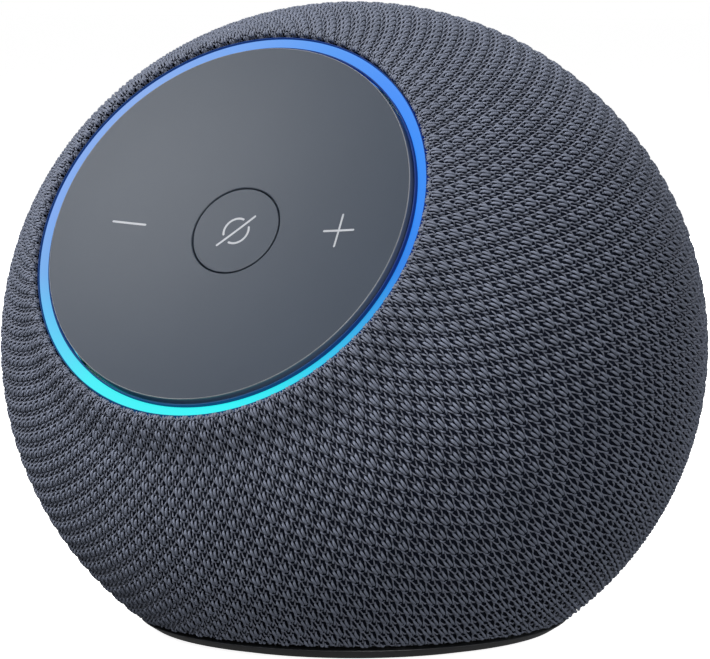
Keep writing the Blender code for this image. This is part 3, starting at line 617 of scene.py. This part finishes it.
def strand_tubes(strand, side, theta_row, phi_column):
    """One strand of every heart that shows: its rings of points, and its centre line."""
    path = np.array(strand["path"])
    width, height = np.array(strand["width"]), np.array(strand["height"])
    theta = theta_row[:, None] + path[None, :, 1] * ROW_PITCH
    spacing = BALL_R * np.abs(np.sin(theta_row)) * WALE
    tight = np.minimum(LOOP_CELL / spacing, 1.0) ** 0.6 if strand is LOOP else np.ones_like(spacing)
    across = path[None, :, 0] * tight[:, None]
    phi = phi_column[:, None] + side * across * WALE
    place, normal, flat = knit_frame(theta, phi)
    ray = np.linalg.norm(flat - ORIGIN_O, axis=-1)
    cell = ray * np.abs(np.sin(theta)) * WALE
    fit = (np.maximum(cell, CELL_TIGHT) / CELL_REFERENCE) ** 0.3 * np.minimum(cell / CELL_TIGHT, 1.0)
    depth = np.minimum(path[None, :, 2], deepest(theta, flat))
    centre = place - normal * depth[..., None]
    along = np.gradient(centre, axis=1)
    along /= np.maximum(np.linalg.norm(along, axis=-1, keepdims=True), 1e-9)
    across = np.cross(normal, along)
    across /= np.maximum(np.linalg.norm(across, axis=-1, keepdims=True), 1e-9)
    turn = 2 * math.pi * np.arange(strand["sides"]) / strand["sides"]
    half_w = width[None, :, None, None] * fit[..., None, None]
    half_h = height[None, :, None, None] * np.minimum(fit, 1.0)[..., None, None]
    rings = (centre[:, :, None, :] + across[:, :, None, :] * half_w * np.cos(turn)[None, None, :, None]
             + normal[:, :, None, :] * half_h * np.sin(turn)[None, None, :, None])
    at_base, at_arch = base_run(flat)[0], arch_run(flat)
    past_ring = (lip_run(theta) > LIP_ROLL * (math.pi - LIP_LEAN) + PAST_WALL).all(1)
    past_base = (at_base > PAST_TURN).all(1)
    past_arch = (at_arch > PAST_TURN).all(1)
    in_corner = ((at_base > CORNER_RUN) & (at_arch > CORNER_RUN)).any(1)
    keep = ~(past_ring | past_base | past_arch | in_corner) & (theta.max(1) < math.pi - POLE_MARGIN)
    return rings[keep], centre[keep]


def tube_faces(count, rings, sides):
    """Corner indices for count closed tubes, each of rings of points and then its two end points."""
    per_tube = rings * sides + 2
    side = np.arange(sides)
    following = (side + 1) % sides
    quads = np.concatenate([np.stack([k * sides + side, k * sides + following,
                                      (k + 1) * sides + following, (k + 1) * sides + side], -1)
                            for k in range(rings - 1)])
    first, last = rings * sides, rings * sides + 1
    end = (rings - 1) * sides
    triangles = np.concatenate([np.stack([following, side, np.full(sides, first)], -1),
                                np.stack([end + side, end + following, np.full(sides, last)], -1)])
    offset = (np.arange(count) * per_tube)[:, None, None]
    return (quads[None] + offset).reshape(-1, 4), (triangles[None] + offset).reshape(-1, 3)


def end_points(centre):
    """A point past each end of each centre line, for its tube to close on."""
    stems = centre[:, [0, -1]]
    way = stems - centre[:, [1, -2]]
    reach = np.linalg.norm(way, axis=-1, keepdims=True)
    return stems + way * np.minimum(0.5, END_REACH / np.maximum(reach, 1e-6))


def build_knit(materials):
    """The stitches, split into panels round the face's axis to keep each mesh small."""
    rows = int((CLOSING_ROW - KNIT_START) / ROW_PITCH) + EXTRA_ROWS
    row, column = np.meshgrid(np.arange(-EXTRA_ROWS, rows), np.arange(WALES), indexing="ij")
    row, column = row.ravel(), column.ravel()
    theta_row = KNIT_START + (row + FIRST_ROW) * ROW_PITCH
    phi_column = FIRST_WALE + (column + 0.5 * (row % 2)) * WALE
    made = []
    for panel in range(PANELS):
        mine = (column * PANELS // WALES) == panel
        points, quads, triangles, quad_kinds, triangle_kinds = [], [], [], [], []
        total = 0
        for strand, kind in STRANDS:
            for side in (-1, 1):
                rings, centre = strand_tubes(strand, side, theta_row[mine], phi_column[mine])
                count, ring_count, sides = rings.shape[:3]
                tubes = np.concatenate([rings.reshape(count, ring_count * sides, 3), end_points(centre)], 1)
                four, three = tube_faces(count, ring_count, sides)
                points.append(tubes.reshape(-1, 3))
                quads.append(four + total)
                triangles.append(three + total)
                quad_kinds.append(np.full(len(four), kind))
                triangle_kinds.append(np.full(len(three), kind))
                total += len(points[-1])
        mesh = mesh_from_arrays(f"knit_panel_{panel + 1}", np.concatenate(points), np.concatenate(quads),
                                np.concatenate(triangles), np.concatenate(quad_kinds + triangle_kinds))
        made.append(add_piece(mesh, materials[0]))
        mesh.materials.append(materials[1])
    return made


def build_lining(material):
    """The dark closed fabric under the stitches, one sheet from the ring to the foot and the port; its
    near-black, bluish colour is partly its own and partly painted shade of the stitch holes.
    """
    lip = KNIT_START - np.linspace(LINING_LIP, 0.001, LINING_LIP_STEPS)
    theta = np.concatenate([lip, np.linspace(KNIT_START, LINING_END, LINING_STEPS - LINING_LIP_STEPS)])
    phi = 2 * math.pi * np.arange(LINING_SIDES) / LINING_SIDES
    grid_theta, grid_phi = np.meshgrid(theta, phi, indexing="ij")
    place, normal, flat = knit_frame(grid_theta, grid_phi)
    depth = np.minimum(LINING_DEPTH, deepest(grid_theta, flat))
    points = (place - normal * depth[..., None]).reshape(-1, 3)
    hidden = ((base_run(flat)[0] > LINING_RUN) | (arch_run(flat) > LINING_RUN)).ravel()
    i, j = np.meshgrid(np.arange(LINING_STEPS - 1), np.arange(LINING_SIDES), indexing="ij")
    row, j = i.ravel() * LINING_SIDES, j.ravel()
    after = (j + 1) % LINING_SIDES
    quads = np.stack([row + j, row + LINING_SIDES + j, row + LINING_SIDES + after, row + after], -1)
    quads = quads[~hidden[quads].any(1)]
    used = np.unique(quads)
    renumber = np.zeros(len(points), int)
    renumber[used] = np.arange(len(used))
    mesh = mesh_from_arrays("knit_lining", points[used], renumber[quads], np.zeros((0, 3), int))
    outward(mesh)
    node = add_piece(mesh, material, ["fabric_cover"])


# ---- face ----


RIM_R = 0.14  # rounding of the plate's edge


def build_plate(material, highlight_edge_material, ring_lit_wall_material):
    """The dished plate, with its rounded edge and its wall each in a material of their own: the edge's
    light colour is a painted highlight along the rim, and the wall's bluish colour is the ring's light
    painted on it.
    """
    hole = BUTTON_R + BUTTON_GAP
    inner = PLATE_R - SKIRT_T
    start = PLATE_R - RIM_R
    edge_d = float(dish(PLATE_R))
    radii = [hole + 0.12, hole + 0.16, *np.linspace(hole + 0.6, start - 0.5, 24), start - 0.05, start]
    profile = [(hole, float(dish(hole)) - 0.12)]
    profile += [(r, float(dish(r))) for r in radii]
    profile += [(start + RIM_R * math.sin(a), edge_d - RIM_R * (1 - math.cos(a)))
                for a in np.linspace(0.25, math.pi / 2, 6)]
    profile += [(PLATE_R, SKIRT_BOTTOM + 0.15), (PLATE_R - 0.15, SKIRT_BOTTOM), (inner, SKIRT_BOTTOM)]
    profile += [(r, float(dish(r)) - PLATE_T) for r in np.linspace(inner, hole, 8)]
    mesh = turned("control_plate_face", profile, face_point)
    add_piece(mesh, material, ["control_plate"], "control_plate_body")
    mesh.materials.append(highlight_edge_material)
    mesh.materials.append(ring_lit_wall_material)
    for polygon in mesh.polygons:
        place = np.array(polygon.center) / MM - ORIGIN_O
        out = place @ AXIS_N
        if np.linalg.norm(place - out * AXIS_N) > start + 0.01:
            # Index 1 takes the rim's painted highlight, index 2 the wall's painted ring light.
            polygon.material_index = 1 if out > edge_d - RIM_R else 2


def build_button(material):
    radii = [0.0, *np.linspace(0.8, BUTTON_R - 0.6, 10), BUTTON_R - 0.16, BUTTON_R - 0.12]
    edge = float(dish(BUTTON_R))
    profile = [(r, float(dish(r))) for r in radii]
    profile += [(BUTTON_R - 0.05, edge - 0.04), (BUTTON_R, edge - 0.14), (BUTTON_R, BUTTON_BOTTOM + 0.1),
                (BUTTON_R - 0.1, BUTTON_BOTTOM), (0.0, BUTTON_BOTTOM)]
    mesh = turned("mute_button_face", profile, face_point, 128, cap=True)
    add_piece(mesh, material, ["mute_button"], "mute_button_body")


PRINT_HALF = 0.16  # half a stroke's width
PRINT_RISE = 0.02
PRINT_SINK = 0.06
MARK_HALF = 2.55  # half the length of the minus and of the plus
CROSSING = 0.3  # the plus's upright starts this far from the middle of its bar
MUTE_ARC_R = 2.03
MUTE_SLASH = 3.48  # half the slash's length
MUTE_ARCS = ((71, 199), (-109, 19))  # in degrees, with a gap either side of the slash


def printed_line(path):
    """A printed stroke with round ends on the dished face: loops of four corners along its path."""
    path = np.array(path, float)
    way = np.gradient(path, axis=0)
    way /= np.linalg.norm(way, axis=1, keepdims=True)
    side = np.stack([-way[:, 1], way[:, 0]], 1)
    steps = np.linspace(0.0, math.pi / 2, 6)
    stations = [(path[0] - way[0] * PRINT_HALF * math.cos(a), side[0], PRINT_HALF * max(math.sin(a), 0.12))
                for a in steps[:-1]]
    stations += [(p, s, PRINT_HALF) for p, s in zip(path, side)]
    stations += [(path[-1] + way[-1] * PRINT_HALF * math.sin(a), side[-1],
                  PRINT_HALF * max(math.cos(a), 0.12)) for a in steps[1:]]
    loops = []
    for point, across, half in stations:
        corners = []
        for hand, level in ((1, PRINT_RISE), (-1, PRINT_RISE), (-1, -PRINT_SINK), (1, -PRINT_SINK)):
            u, v = point + across * half * hand
            corners.append(face_point(u, v, float(dish(math.hypot(u, v))) + level))
        loops.append(corners)
    return loops


def arc(radius, start, end, steps=24):
    angles = np.radians(np.linspace(start, end, steps))
    return radius * np.stack([np.cos(angles), np.sin(angles)], -1)


def straight(start, end, steps=16):
    return np.array(start) + (np.array(end) - np.array(start)) * np.linspace(0, 1, steps)[:, None]


def build_print(name, paths, body, material):
    bm = bmesh.new()
    for path in paths:
        loops = printed_line(path)
        stroke = loops_mesh(name, loops, False, np.mean(loops[0], 0), np.mean(loops[-1], 0))
        crease(stroke, 50.0)
        bm.from_mesh(stroke)
        bpy.data.meshes.remove(stroke)
    add_piece(mesh_from_bmesh(name, bm), material, body=body)


def build_icons(material):
    for name, middle in (("minus_mark", -ICON_OFFSET), ("plus_mark_across", ICON_OFFSET)):
        bar = straight((middle - MARK_HALF, 0), (middle + MARK_HALF, 0))
        build_print(name, [bar], "control_plate_body", material)
    halves = [straight((ICON_OFFSET, hand * CROSSING), (ICON_OFFSET, hand * MARK_HALF)) for hand in (1, -1)]
    build_print("plus_mark_up", halves, "control_plate_body", material)
    tip = MUTE_SLASH * math.sqrt(0.5)
    strokes = [arc(MUTE_ARC_R, start, end) for start, end in MUTE_ARCS]
    build_print("mute_mark", [*strokes, straight((-tip, -tip), (tip, tip))], "mute_button_body", material)


def build_light_ring(material, painted_glow_material):
    """The lit diffuser, and the thin walls between it and the plate and between it and the knit, with the
    ring's light painted on those walls as a faint glow.
    """
    collar_out = RING_IN + COLLAR_T
    shroud_in = RING_OUT + 0.01
    shroud_out = shroud_in + SHROUD_T
    for name, inner, outer, low, high, edge in (
            ("light_ring_collar", RING_IN, collar_out, COLLAR_BOTTOM, RING_IN_D + COLLAR_RISE, 0.07),
            ("light_ring_shroud", shroud_in, shroud_out, SHROUD_BOTTOM, RING_OUT_D + SHROUD_RISE, 0.05)):
        profile = [(inner, low), (inner, high), (outer, high), (outer, low)]
        add_turned(name, fillet(profile, [0.0, edge, edge, 0.0], 3), face_point,
                   painted_glow_material)
    lit_in = collar_out + 0.02
    profile = fillet([(lit_in, RING_IN_D), (RING_OUT, RING_OUT_D), (RING_OUT, RING_FLANGE_OUTER_D),
                      (RING_STEM_OUT, RING_FLANGE_INNER_D), (RING_STEM_OUT, RING_STEM_BOTTOM),
                      (lit_in, RING_STEM_BOTTOM)], [0.05, 0.2, 0.1, 0.1, 0.1, 0.1])
    add_turned("light_ring_diffuser", profile, face_point, material, ["light_ring"])


# ---- foot and port ----


def cut_screw(index, steel):
    """One screw with its cross, and the tool for its hole in the bottom cover."""
    low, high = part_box(f"base_screw_{index + 1}")
    x, y = (low.x + high.x) / 2 / MM, (low.y + high.y) / 2 / MM

    def at_screw(u, v, d):
        return table_point(np.asarray(u) + x, np.asarray(v) + y, d)

    hole = [(0.0, 0.0), (SCREW_HOLE_R + 0.1, 0.0), (SCREW_HOLE_R, BASE_RING_BOTTOM + 0.12),
            (SCREW_HOLE_R, SCREW_SEAT_Z), (SCREW_SHANK_R + 0.3, SCREW_SEAT_Z), (SCREW_SHANK_R + 0.3, 3.0),
            (0.0, 3.0)]
    tool = linked("hole_tool", turned("hole_tool", hole, at_screw, 48, cap=True))
    head = [(0.0, SCREW_FACE_Z), (1.5, SCREW_FACE_Z), (SCREW_HEAD_R - 0.15, SCREW_FACE_Z + 0.12),
            (SCREW_HEAD_R, SCREW_FACE_Z + 0.3), (SCREW_HEAD_R, SCREW_SEAT_Z - 0.1),
            (SCREW_SHANK_R, SCREW_SEAT_Z - 0.1), (SCREW_SHANK_R, SCREW_TIP_Z - 0.3), (0.6, SCREW_TIP_Z),
            (0.0, SCREW_TIP_Z)]
    screw = add_turned(f"base_screw_head_{index + 1}", head, at_screw, steel,
                       [f"base_screw_{index + 1}"], 48, cap=True)
    slots = []
    for turn in (0.0, math.pi / 2):
        bm = bmesh.new()
        bmesh.ops.create_cube(bm, size=1.0)
        size = Matrix.Diagonal((2.3 * MM, 0.5 * MM, 0.7 * MM, 1.0))
        bm.transform(Matrix.Translation((x * MM, y * MM, SCREW_FACE_Z * MM))
                     @ Matrix.Rotation(turn + index, 4, "Z") @ size)
        slots.append(linked("cross_tool", mesh_from_bmesh("cross_tool", bm)))
    apply_boolean(screw, slots)
    return tool


def build_foot(base, rubber, steel):
    ring = fillet([(BASE_RING_BORE, BASE_RING_BOTTOM), (BASE_RING_BOTTOM_R, BASE_RING_BOTTOM),
                   (BASE_RING_TOP_R, BASE_RING_TOP), (BASE_RING_BORE, BASE_RING_TOP)],
                  [0.1, 0.25, 0.18, 0.1])
    add_turned("base_ring_trim", ring, table_point, base, ["base_ring"])
    foot_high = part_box("rubber_foot")[1]
    foot_out, foot_top = foot_high.x / MM, foot_high.z / MM
    foot = fillet([(FOOT_IN, 0.0), (foot_out, 0.0), (foot_out, foot_top), (FOOT_IN, foot_top)],
                  [0.35, 0.35, 0.1, 0.1])
    add_turned("rubber_foot_ring", foot, table_point, rubber, ["rubber_foot"], 192)
    near, far, deep = FOOT_IN - COVER_GAP, foot_out + COVER_GAP, foot_top + COVER_GAP  # the foot's groove
    cover_r, low = BASE_RING_BORE - COVER_GAP, BASE_RING_BOTTOM
    cover = [(0.0, low), (15.0, low), (near - 0.1, low), (near, low + 0.1), (near, deep), (far, deep),
             (far, low + 0.1), (far + 0.08, low), (cover_r - 0.1, low), (cover_r, low + 0.1),
             (cover_r, BASE_RING_TOP), (0.0, BASE_RING_TOP)]
    plate = add_turned("bottom_cover_plate", cover, table_point, base, ["bottom_cover"],
                       192, cap=True)
    apply_boolean(plate, [cut_screw(i, steel) for i in range(3)])


ARCH_CORNER = 1.2


def arch_outline(count):
    """The port's arch as count points round the socket's axis: x, z and the angle of each."""
    half, low, corner = PORT_HALF_W, KNIT_EDGE_Z, ARCH_CORNER
    dense = np.concatenate([
        arc(half, 0, 180, 160) + (0, PORT_ARCH_Z),
        straight((-half, PORT_ARCH_Z), (-half, low + corner), 40),
        arc(corner, 180, 270, 20) + (corner - half, low + corner),
        straight((corner - half, low), (half - corner, low), 60),
        arc(corner, -90, 0, 20) + (half - corner, low + corner),
        straight((half, low + corner), (half, PORT_ARCH_Z), 40)])
    angle = np.unwrap(np.arctan2(dense[:, 1] - JACK_Z, dense[:, 0]))
    order = np.argsort(angle)
    angle, dense = angle[order], dense[order]
    turn = angle[0] + 2 * math.pi * np.arange(count) / count
    return np.interp(turn, angle, dense[:, 0]), np.interp(turn, angle, dense[:, 1]), turn


def skin_y(x, z, depth):
    """How far behind the middle a point on the back is that lies at a depth under the ball's outside."""
    r, c = BALL_R - depth, BALL_C - depth
    return r * np.sqrt(np.maximum(1 - (x / r) ** 2 - ((z - BALL_Z) / c) ** 2, 0.0))


def build_port(base, jack_plastic, steel):
    """The panel in the port's arch, sunk round the socket, and the socket with its pin."""
    count = 192
    x_out, z_out, turn = arch_outline(count)
    x_cup, z_cup = np.cos(turn), np.sin(turn)

    def round_loop(radius, y):
        return np.stack([radius * x_cup, np.full(count, y), JACK_Z + radius * z_cup], -1)

    def outer(t, depth):
        """From the cup's rim (0) to the arch's outline (1), at a depth under the ball's outside."""
        x = (JACK_CUP_R * x_cup) * (1 - t) + x_out * t
        z = (JACK_Z + JACK_CUP_R * z_cup) * (1 - t) + z_out * t
        return np.stack([x, skin_y(x, z, depth), z], -1)

    edge_r, bore = 0.5, JACK_R + 0.3
    loops = [np.stack([x_out, np.full(count, PORT_BACK_Y), z_out], -1), outer(1.0, PORT_SKIN + edge_r)]
    loops += [outer(1.0 - 0.09 * (1 - math.cos(a)), PORT_SKIN + edge_r * (1 - math.sin(a)))
              for a in np.linspace(0.3, math.pi / 2, 5)]
    loops += [outer(t, PORT_SKIN) for t in np.linspace(0.88, 0.10, 12)]
    loops += [outer(t, PORT_SKIN + sink) for t, sink in ((0.05, 0.02), (0.015, 0.12), (0.0, 0.35))]
    loops += [round_loop(radius, y) for radius, y in (
        (JACK_CUP_R, JACK_CUP_FLOOR + 0.25), (JACK_CUP_R - 0.25, JACK_CUP_FLOOR),
        (bore + 0.1, JACK_CUP_FLOOR), (bore, JACK_CUP_FLOOR - 0.1), (bore, PORT_BACK_Y))]
    mesh = loops_mesh("rear_port_surround", loops, True)
    crease(mesh, 40.0)
    add_piece(mesh, base, ["rear_port_panel"])
    inside = JACK_PIN_R + 0.3
    barrel = [(JACK_R, JACK_BACK_Y), (JACK_R, JACK_MOUTH_Y - 0.25), (JACK_R - 0.25, JACK_MOUTH_Y),
              (JACK_BORE + 0.45, JACK_MOUTH_Y), (JACK_BORE, JACK_MOUTH_Y - 0.45),
              (JACK_BORE, JACK_BORE_FLOOR), (inside, JACK_BORE_FLOOR), (inside, JACK_BACK_Y)]
    add_turned("power_socket", barrel, back_point, jack_plastic, ["dc_jack"], 96)
    tip = JACK_MOUTH_Y - 1.0
    pin = [(0.0, JACK_PIN_BACK_Y), (JACK_PIN_R, JACK_PIN_BACK_Y)]
    pin += [(JACK_PIN_R * share, tip - back) for share, back in ((1.0, 0.7), (0.93, 0.35), (0.7, 0.1),
                                                                (0.3, 0.0), (0.0, 0.0))]
    add_turned("power_socket_pin", pin, back_point, steel, ["dc_jack_pin"], 48, cap=True)


# ---- finishes ----


def steel_finish():
    m = Nodes("plated_steel")
    m.set(Metallic=1.0, Anisotropic=0.3)
    brushed = m.noise(0.25, 2.0, (1.0, 12.0, 1.0))
    m.colour_between(brushed, (0.50, 0.50, 0.52), (0.68, 0.68, 0.70))
    m.rough_between(brushed, 0.24, 0.42)
    m.bump(brushed, 0.004)
    return m.material


def board_finish():
    """Solder mask over a web of tracks about a millimetre apart."""
    m = Nodes("circuit_board_mask")
    mapping = m.add("ShaderNodeMapping", {"Scale": (900.0, 900.0, 900.0)})
    m.link(m.where, mapping.inputs["Vector"])
    cells = m.add("ShaderNodeTexVoronoi", {"Scale": 1.0}, feature="DISTANCE_TO_EDGE")
    m.link(mapping.outputs["Vector"], cells.inputs["Vector"])
    track = (0.03, 0.13, 0.06)
    m.coloured(cells.outputs["Distance"], [(0.0, track), (0.06, track), (0.09, (0.008, 0.05, 0.022))])
    m.rough_between(m.noise(1.5), 0.28, 0.4)
    m.bump(cells.outputs["Distance"], 0.02)
    return m.material


def woven_finish(name, a, b, pitch):
    m = Nodes(name)
    weave = m.add("ShaderNodeMath", operation="MULTIPLY")
    for i, direction in enumerate(("X", "Z")):
        m.link(m.wave(direction, 0.314 / (pitch * MM), 0.4), weave.inputs[i])
    m.coloured(weave.outputs[0], [(0.0, a), (0.6, b)])
    m.set(Roughness=0.85)
    m.bump(weave.outputs[0], 0.08)
    return m.material


def wound_finish():
    m = Nodes("wound_copper")
    turns = m.wave("Y", 1600.0)
    m.coloured(turns, [(0.0, (0.30, 0.10, 0.04)), (0.5, (0.78, 0.36, 0.18))])
    m.set(Metallic=1.0, Roughness=0.32)
    m.bump(turns, 0.03)
    return m.material


def striped_finish():
    m = Nodes("flat_cable_film")
    m.coloured(m.wave("X", 320.0), [(0.0, (0.32, 0.14, 0.03)), (0.5, (0.60, 0.31, 0.07))])
    m.set(Roughness=0.3)
    m.bump(m.noise(2.0), 0.01)
    return m.material


# The lit ring's colours by angle in degrees, from the plus side (0) over the top (90).
RING_COLOURS = ((-180, (128, 170, 240)), (-162, (116, 176, 238)), (-148, (98, 198, 248)),
                (-132, (84, 224, 250)), (-120, (66, 246, 250)), (-90, (50, 252, 250)),
                (-74, (40, 252, 252)), (-60, (40, 236, 246)), (-45, (38, 204, 240)),
                (-28, (42, 164, 232)), (-12, (36, 130, 234)), (6, (44, 136, 248)), (24, (50, 142, 252)),
                (50, (72, 146, 252)), (75, (86, 156, 248)), (105, (118, 168, 244)),
                (135, (138, 174, 238)), (180, (128, 170, 240)))


def lit_finish(name, dim=(1.0, 1.0, 1.0)):
    """The diffuser's lit surface: its colour runs round the ring. Scaled down by dim, it is a painted glow
    of the ring's light on the walls beside it.
    """
    m = Nodes(name)
    centred = m.add("ShaderNodeVectorMath", {1: ORIGIN_O * MM}, operation="SUBTRACT")
    m.link(m.where, centred.inputs[0])
    angle = m.add("ShaderNodeMath", operation="ARCTAN2")
    for i, axis in enumerate((AXIS_V, AXIS_U)):
        dot = m.add("ShaderNodeVectorMath", {1: axis}, operation="DOT_PRODUCT")
        m.link(centred.outputs["Vector"], dot.inputs[0])
        m.link(dot.outputs["Value"], angle.inputs[i])
    turn = m.add("ShaderNodeMapRange", {"From Min": -math.pi, "From Max": math.pi})
    m.link(angle.outputs[0], turn.inputs["Value"])
    stops = [((degrees + 180) / 360, tuple(a * b for a, b in zip(linear(*colour), dim)))
             for degrees, colour in RING_COLOURS]
    m.link(m.ramp(turn.outputs["Result"], stops), m.shader.inputs["Emission Color"])
    m.set(Base_Color=(0.01, 0.02, 0.04), Emission_Strength=0.9, Roughness=0.6, Specular_IOR_Level=0.1)
    m.bump(m.noise(0.5), 0.01)
    return m.material


# By slot: name, colour, roughness, and the grain's size and depth in millimetres.
MOULDED = {
    "housing": ("housing_plastic", (0.030, 0.031, 0.034), 0.6, 0.6, 0.02),
    "base_plastic": ("base_satin_plastic", (0.020, 0.022, 0.026), 0.42, 0.25, 0.006),
    "rubber": ("foot_rubber", (0.018, 0.018, 0.019), 0.8, 0.5, 0.03),
    "inner_plastic": ("inner_plastic", (0.045, 0.046, 0.050), 0.55, 0.5, 0.02),
    "jack_moulding": ("jack_plastic", (0.020, 0.020, 0.022), 0.35, 0.4, 0.008),
    "driver_frame": ("driver_frame_paint", (0.035, 0.035, 0.037), 0.4, 0.3, 0.01),
    "driver_cone": ("pressed_cone", (0.045, 0.045, 0.048), 0.7, 0.8, 0.06),
    "ferrite": ("ground_ferrite", (0.060, 0.060, 0.063), 0.55, 0.2, 0.02),
    "cable_sleeve": ("lead_sleeve", (0.040, 0.040, 0.042), 0.5, 0.3, 0.01),
}


def build_finishes():
    finishes = {slot: moulded(*values) for slot, values in MOULDED.items()}
    finishes["fabric"] = yarn("knit_yarn", linear(97, 102, 116))
    finishes["steel"] = steel_finish()
    finishes["circuit_board"] = board_finish()
    finishes["driver_fabric"] = woven_finish("doped_fabric", (0.11, 0.08, 0.04), (0.26, 0.20, 0.11), 0.5)
    finishes["coil_copper"] = wound_finish()
    finishes["flat_cable"] = striped_finish()
    finishes["light_diffuser"] = lit_finish("lit_diffuser")
    finishes["face"] = moulded("face_satin", (0.027, 0.035, 0.049), 0.5, 0.12, 0.0025, 0.02,
                               Specular_IOR_Level=0.25)
    return finishes


def dress_nodes(finishes):
    """Gives each CAD node the finish of its slot in the record."""
    slots = {part["node"]: part["material_slot"] for part in frame["record"]["subparts"]}
    for name, node in frame["nodes"].items():
        finish = finishes[slots[name]]
        if node.material_slots:
            for place in node.material_slots:
                place.link = "OBJECT"
                place.material = finish
        else:
            node.data.materials.append(finish)


# ---- floor, light and camera ----

CAMERA_AZIMUTH = math.radians(28.7)
CAMERA_HEIGHT = math.radians(5.59)
CAMERA_AWAY = 539.0
CAMERA_LENS = 177.2
AIM_UP = 2.35  # the camera aims this far over the ball's middle
AIM_RIGHT = 0.07

# Soft square lights: way to each by the camera's right, up and towards it, distance, size and power.
LIGHTS = {
    "key_softbox": ((-0.56, 0.70, 0.54), 900.0, 420.0, 11.5),
    "front_softbox": ((-0.4, 0.5, 1.0), 900.0, 500.0, 0.8),
    "fill_softbox": ((0.25, 0.12, 1.0), 1100.0, 300.0, 5.5),
    "left_softbox": ((-1.0, -0.3, 0.35), 900.0, 400.0, 1.4),
    "back_softbox": ((0.25, 0.25, -1.0), 900.0, 400.0, 4.5),
    "side_softbox": ((0.85, 0.45, 0.4), 900.0, 400.0, 1.3),
}
WORLD_LEVELS = ((0.48, 0.14), (0.49, 1.0), (0.508, 1.0), (0.53, 0.08))  # a bright band at the horizon


def camera_axes():
    """Unit vectors to the camera's right, up and from the ball to the camera."""
    away = np.array([math.sin(CAMERA_AZIMUTH) * math.cos(CAMERA_HEIGHT),
                     -math.cos(CAMERA_AZIMUTH) * math.cos(CAMERA_HEIGHT), math.sin(CAMERA_HEIGHT)])
    right = np.array([math.cos(CAMERA_AZIMUTH), math.sin(CAMERA_AZIMUTH), 0.0])
    return right, np.cross(away, right), away


def look_from(node, place, target):
    node.location = Vector(place) * MM
    way = Vector(target) - Vector(place)
    node.rotation_mode = "QUATERNION"
    node.rotation_quaternion = way.to_track_quat("-Z", "Y")


def build_camera():
    right, up, away = camera_axes()
    data = bpy.data.cameras.new("camera")
    data.lens = CAMERA_LENS
    data.sensor_width = 36.0
    data.sensor_fit = "HORIZONTAL"
    data.clip_start = 0.02
    data.clip_end = 50.0
    node = linked("camera", data)
    look_from(node, CENTRE + away * CAMERA_AWAY, CENTRE + up * AIM_UP + right * AIM_RIGHT)
    bpy.context.scene.camera = node


def area_light(name, way, distance, size, energy):
    direction = np.array(way) @ np.array(camera_axes())
    direction /= np.linalg.norm(direction)
    data = bpy.data.lights.new(name, "AREA")
    data.shape = "SQUARE"
    data.size = size * MM
    data.energy = energy
    look_from(linked(name, data), CENTRE + direction * distance, CENTRE)


def build_floor():
    bm = bmesh.new()
    bmesh.ops.create_grid(bm, x_segments=8, y_segments=8, size=24.0)
    m = Nodes("pale_floor")
    m.colour_between(m.noise(60.0), (0.90, 0.90, 0.90), (0.92, 0.92, 0.92))
    m.set(Roughness=0.9, Emission_Color=(1.0, 1.0, 1.0), Emission_Strength=0.92)
    node = linked("floor", mesh_from_bmesh("floor", bm))
    node.data.materials.append(m.material)
    node.visible_diffuse = False
    node.visible_glossy = False


def build_world():
    world = bpy.data.worlds.new("studio")
    world.use_nodes = True
    tree = world.node_tree
    where = tree.nodes.new("ShaderNodeTexCoord")
    parts = tree.nodes.new("ShaderNodeSeparateXYZ")
    height = tree.nodes.new("ShaderNodeMapRange")
    height.inputs["From Min"].default_value = -1.0
    band = tree.nodes.new("ShaderNodeValToRGB")
    set_stops(band, [(position, (level, level, level)) for position, level in WORLD_LEVELS])
    tree.links.new(where.outputs["Generated"], parts.inputs["Vector"])
    tree.links.new(parts.outputs["Z"], height.inputs["Value"])
    tree.links.new(height.outputs["Result"], band.inputs["Fac"])
    tree.links.new(band.outputs["Color"], tree.nodes["Background"].inputs["Color"])
    bpy.context.scene.world = world


def main():
    finishes = build_finishes()
    dress_nodes(finishes)
    ground_yarn = yarn("knit_ground_yarn", linear(100, 104, 117))
    lining = Nodes("knit_lining_cloth_and_painted_shade")
    # The lining's near-black, bluish colour is partly painted shade of the stitch holes.
    lining.colour_between(lining.noise(0.3), linear(8, 12, 22), linear(23, 28, 41))
    lining.set(Roughness=0.95, Specular_IOR_Level=0.1)
    lining.bump(lining.noise(0.25), 0.05)
    panels = build_knit([finishes["fabric"], ground_yarn])
    build_lining(lining.material)
    # The edge's light colour paints a highlight along the plate's rim.
    edge = moulded("face_edge_painted_highlight", (0.15, 0.155, 0.165), 0.35, 0.12, 0.002, 0.02)
    # The wall's bluish colour paints the ring's light falling on it.
    wall = moulded("face_wall_painted_ring_light", (0.075, 0.10, 0.14), 0.5, 0.12, 0.0025, 0.02)
    build_plate(finishes["face"], edge, wall)
    build_button(finishes["face"])
    ink = moulded("print_ink", (0.27, 0.28, 0.30), 0.6, 0.15, 0.002, 0.03)
    build_icons(ink)
    # The collar and shroud glow with a dim copy of the ring's colours: painted light from the ring.
    build_light_ring(finishes["light_diffuser"], lit_finish("painted_ring_glow", (0.0, 0.05, 0.16)))
    build_foot(finishes["base_plastic"], finishes["rubber"], finishes["steel"])
    build_port(finishes["base_plastic"], finishes["jack_moulding"], finishes["steel"])
    build_floor()
    for name, values in LIGHTS.items():
        area_light(name, *values)
    build_world()
    build_camera()
    bpy.context.scene.view_settings.view_transform = "Standard"


main()
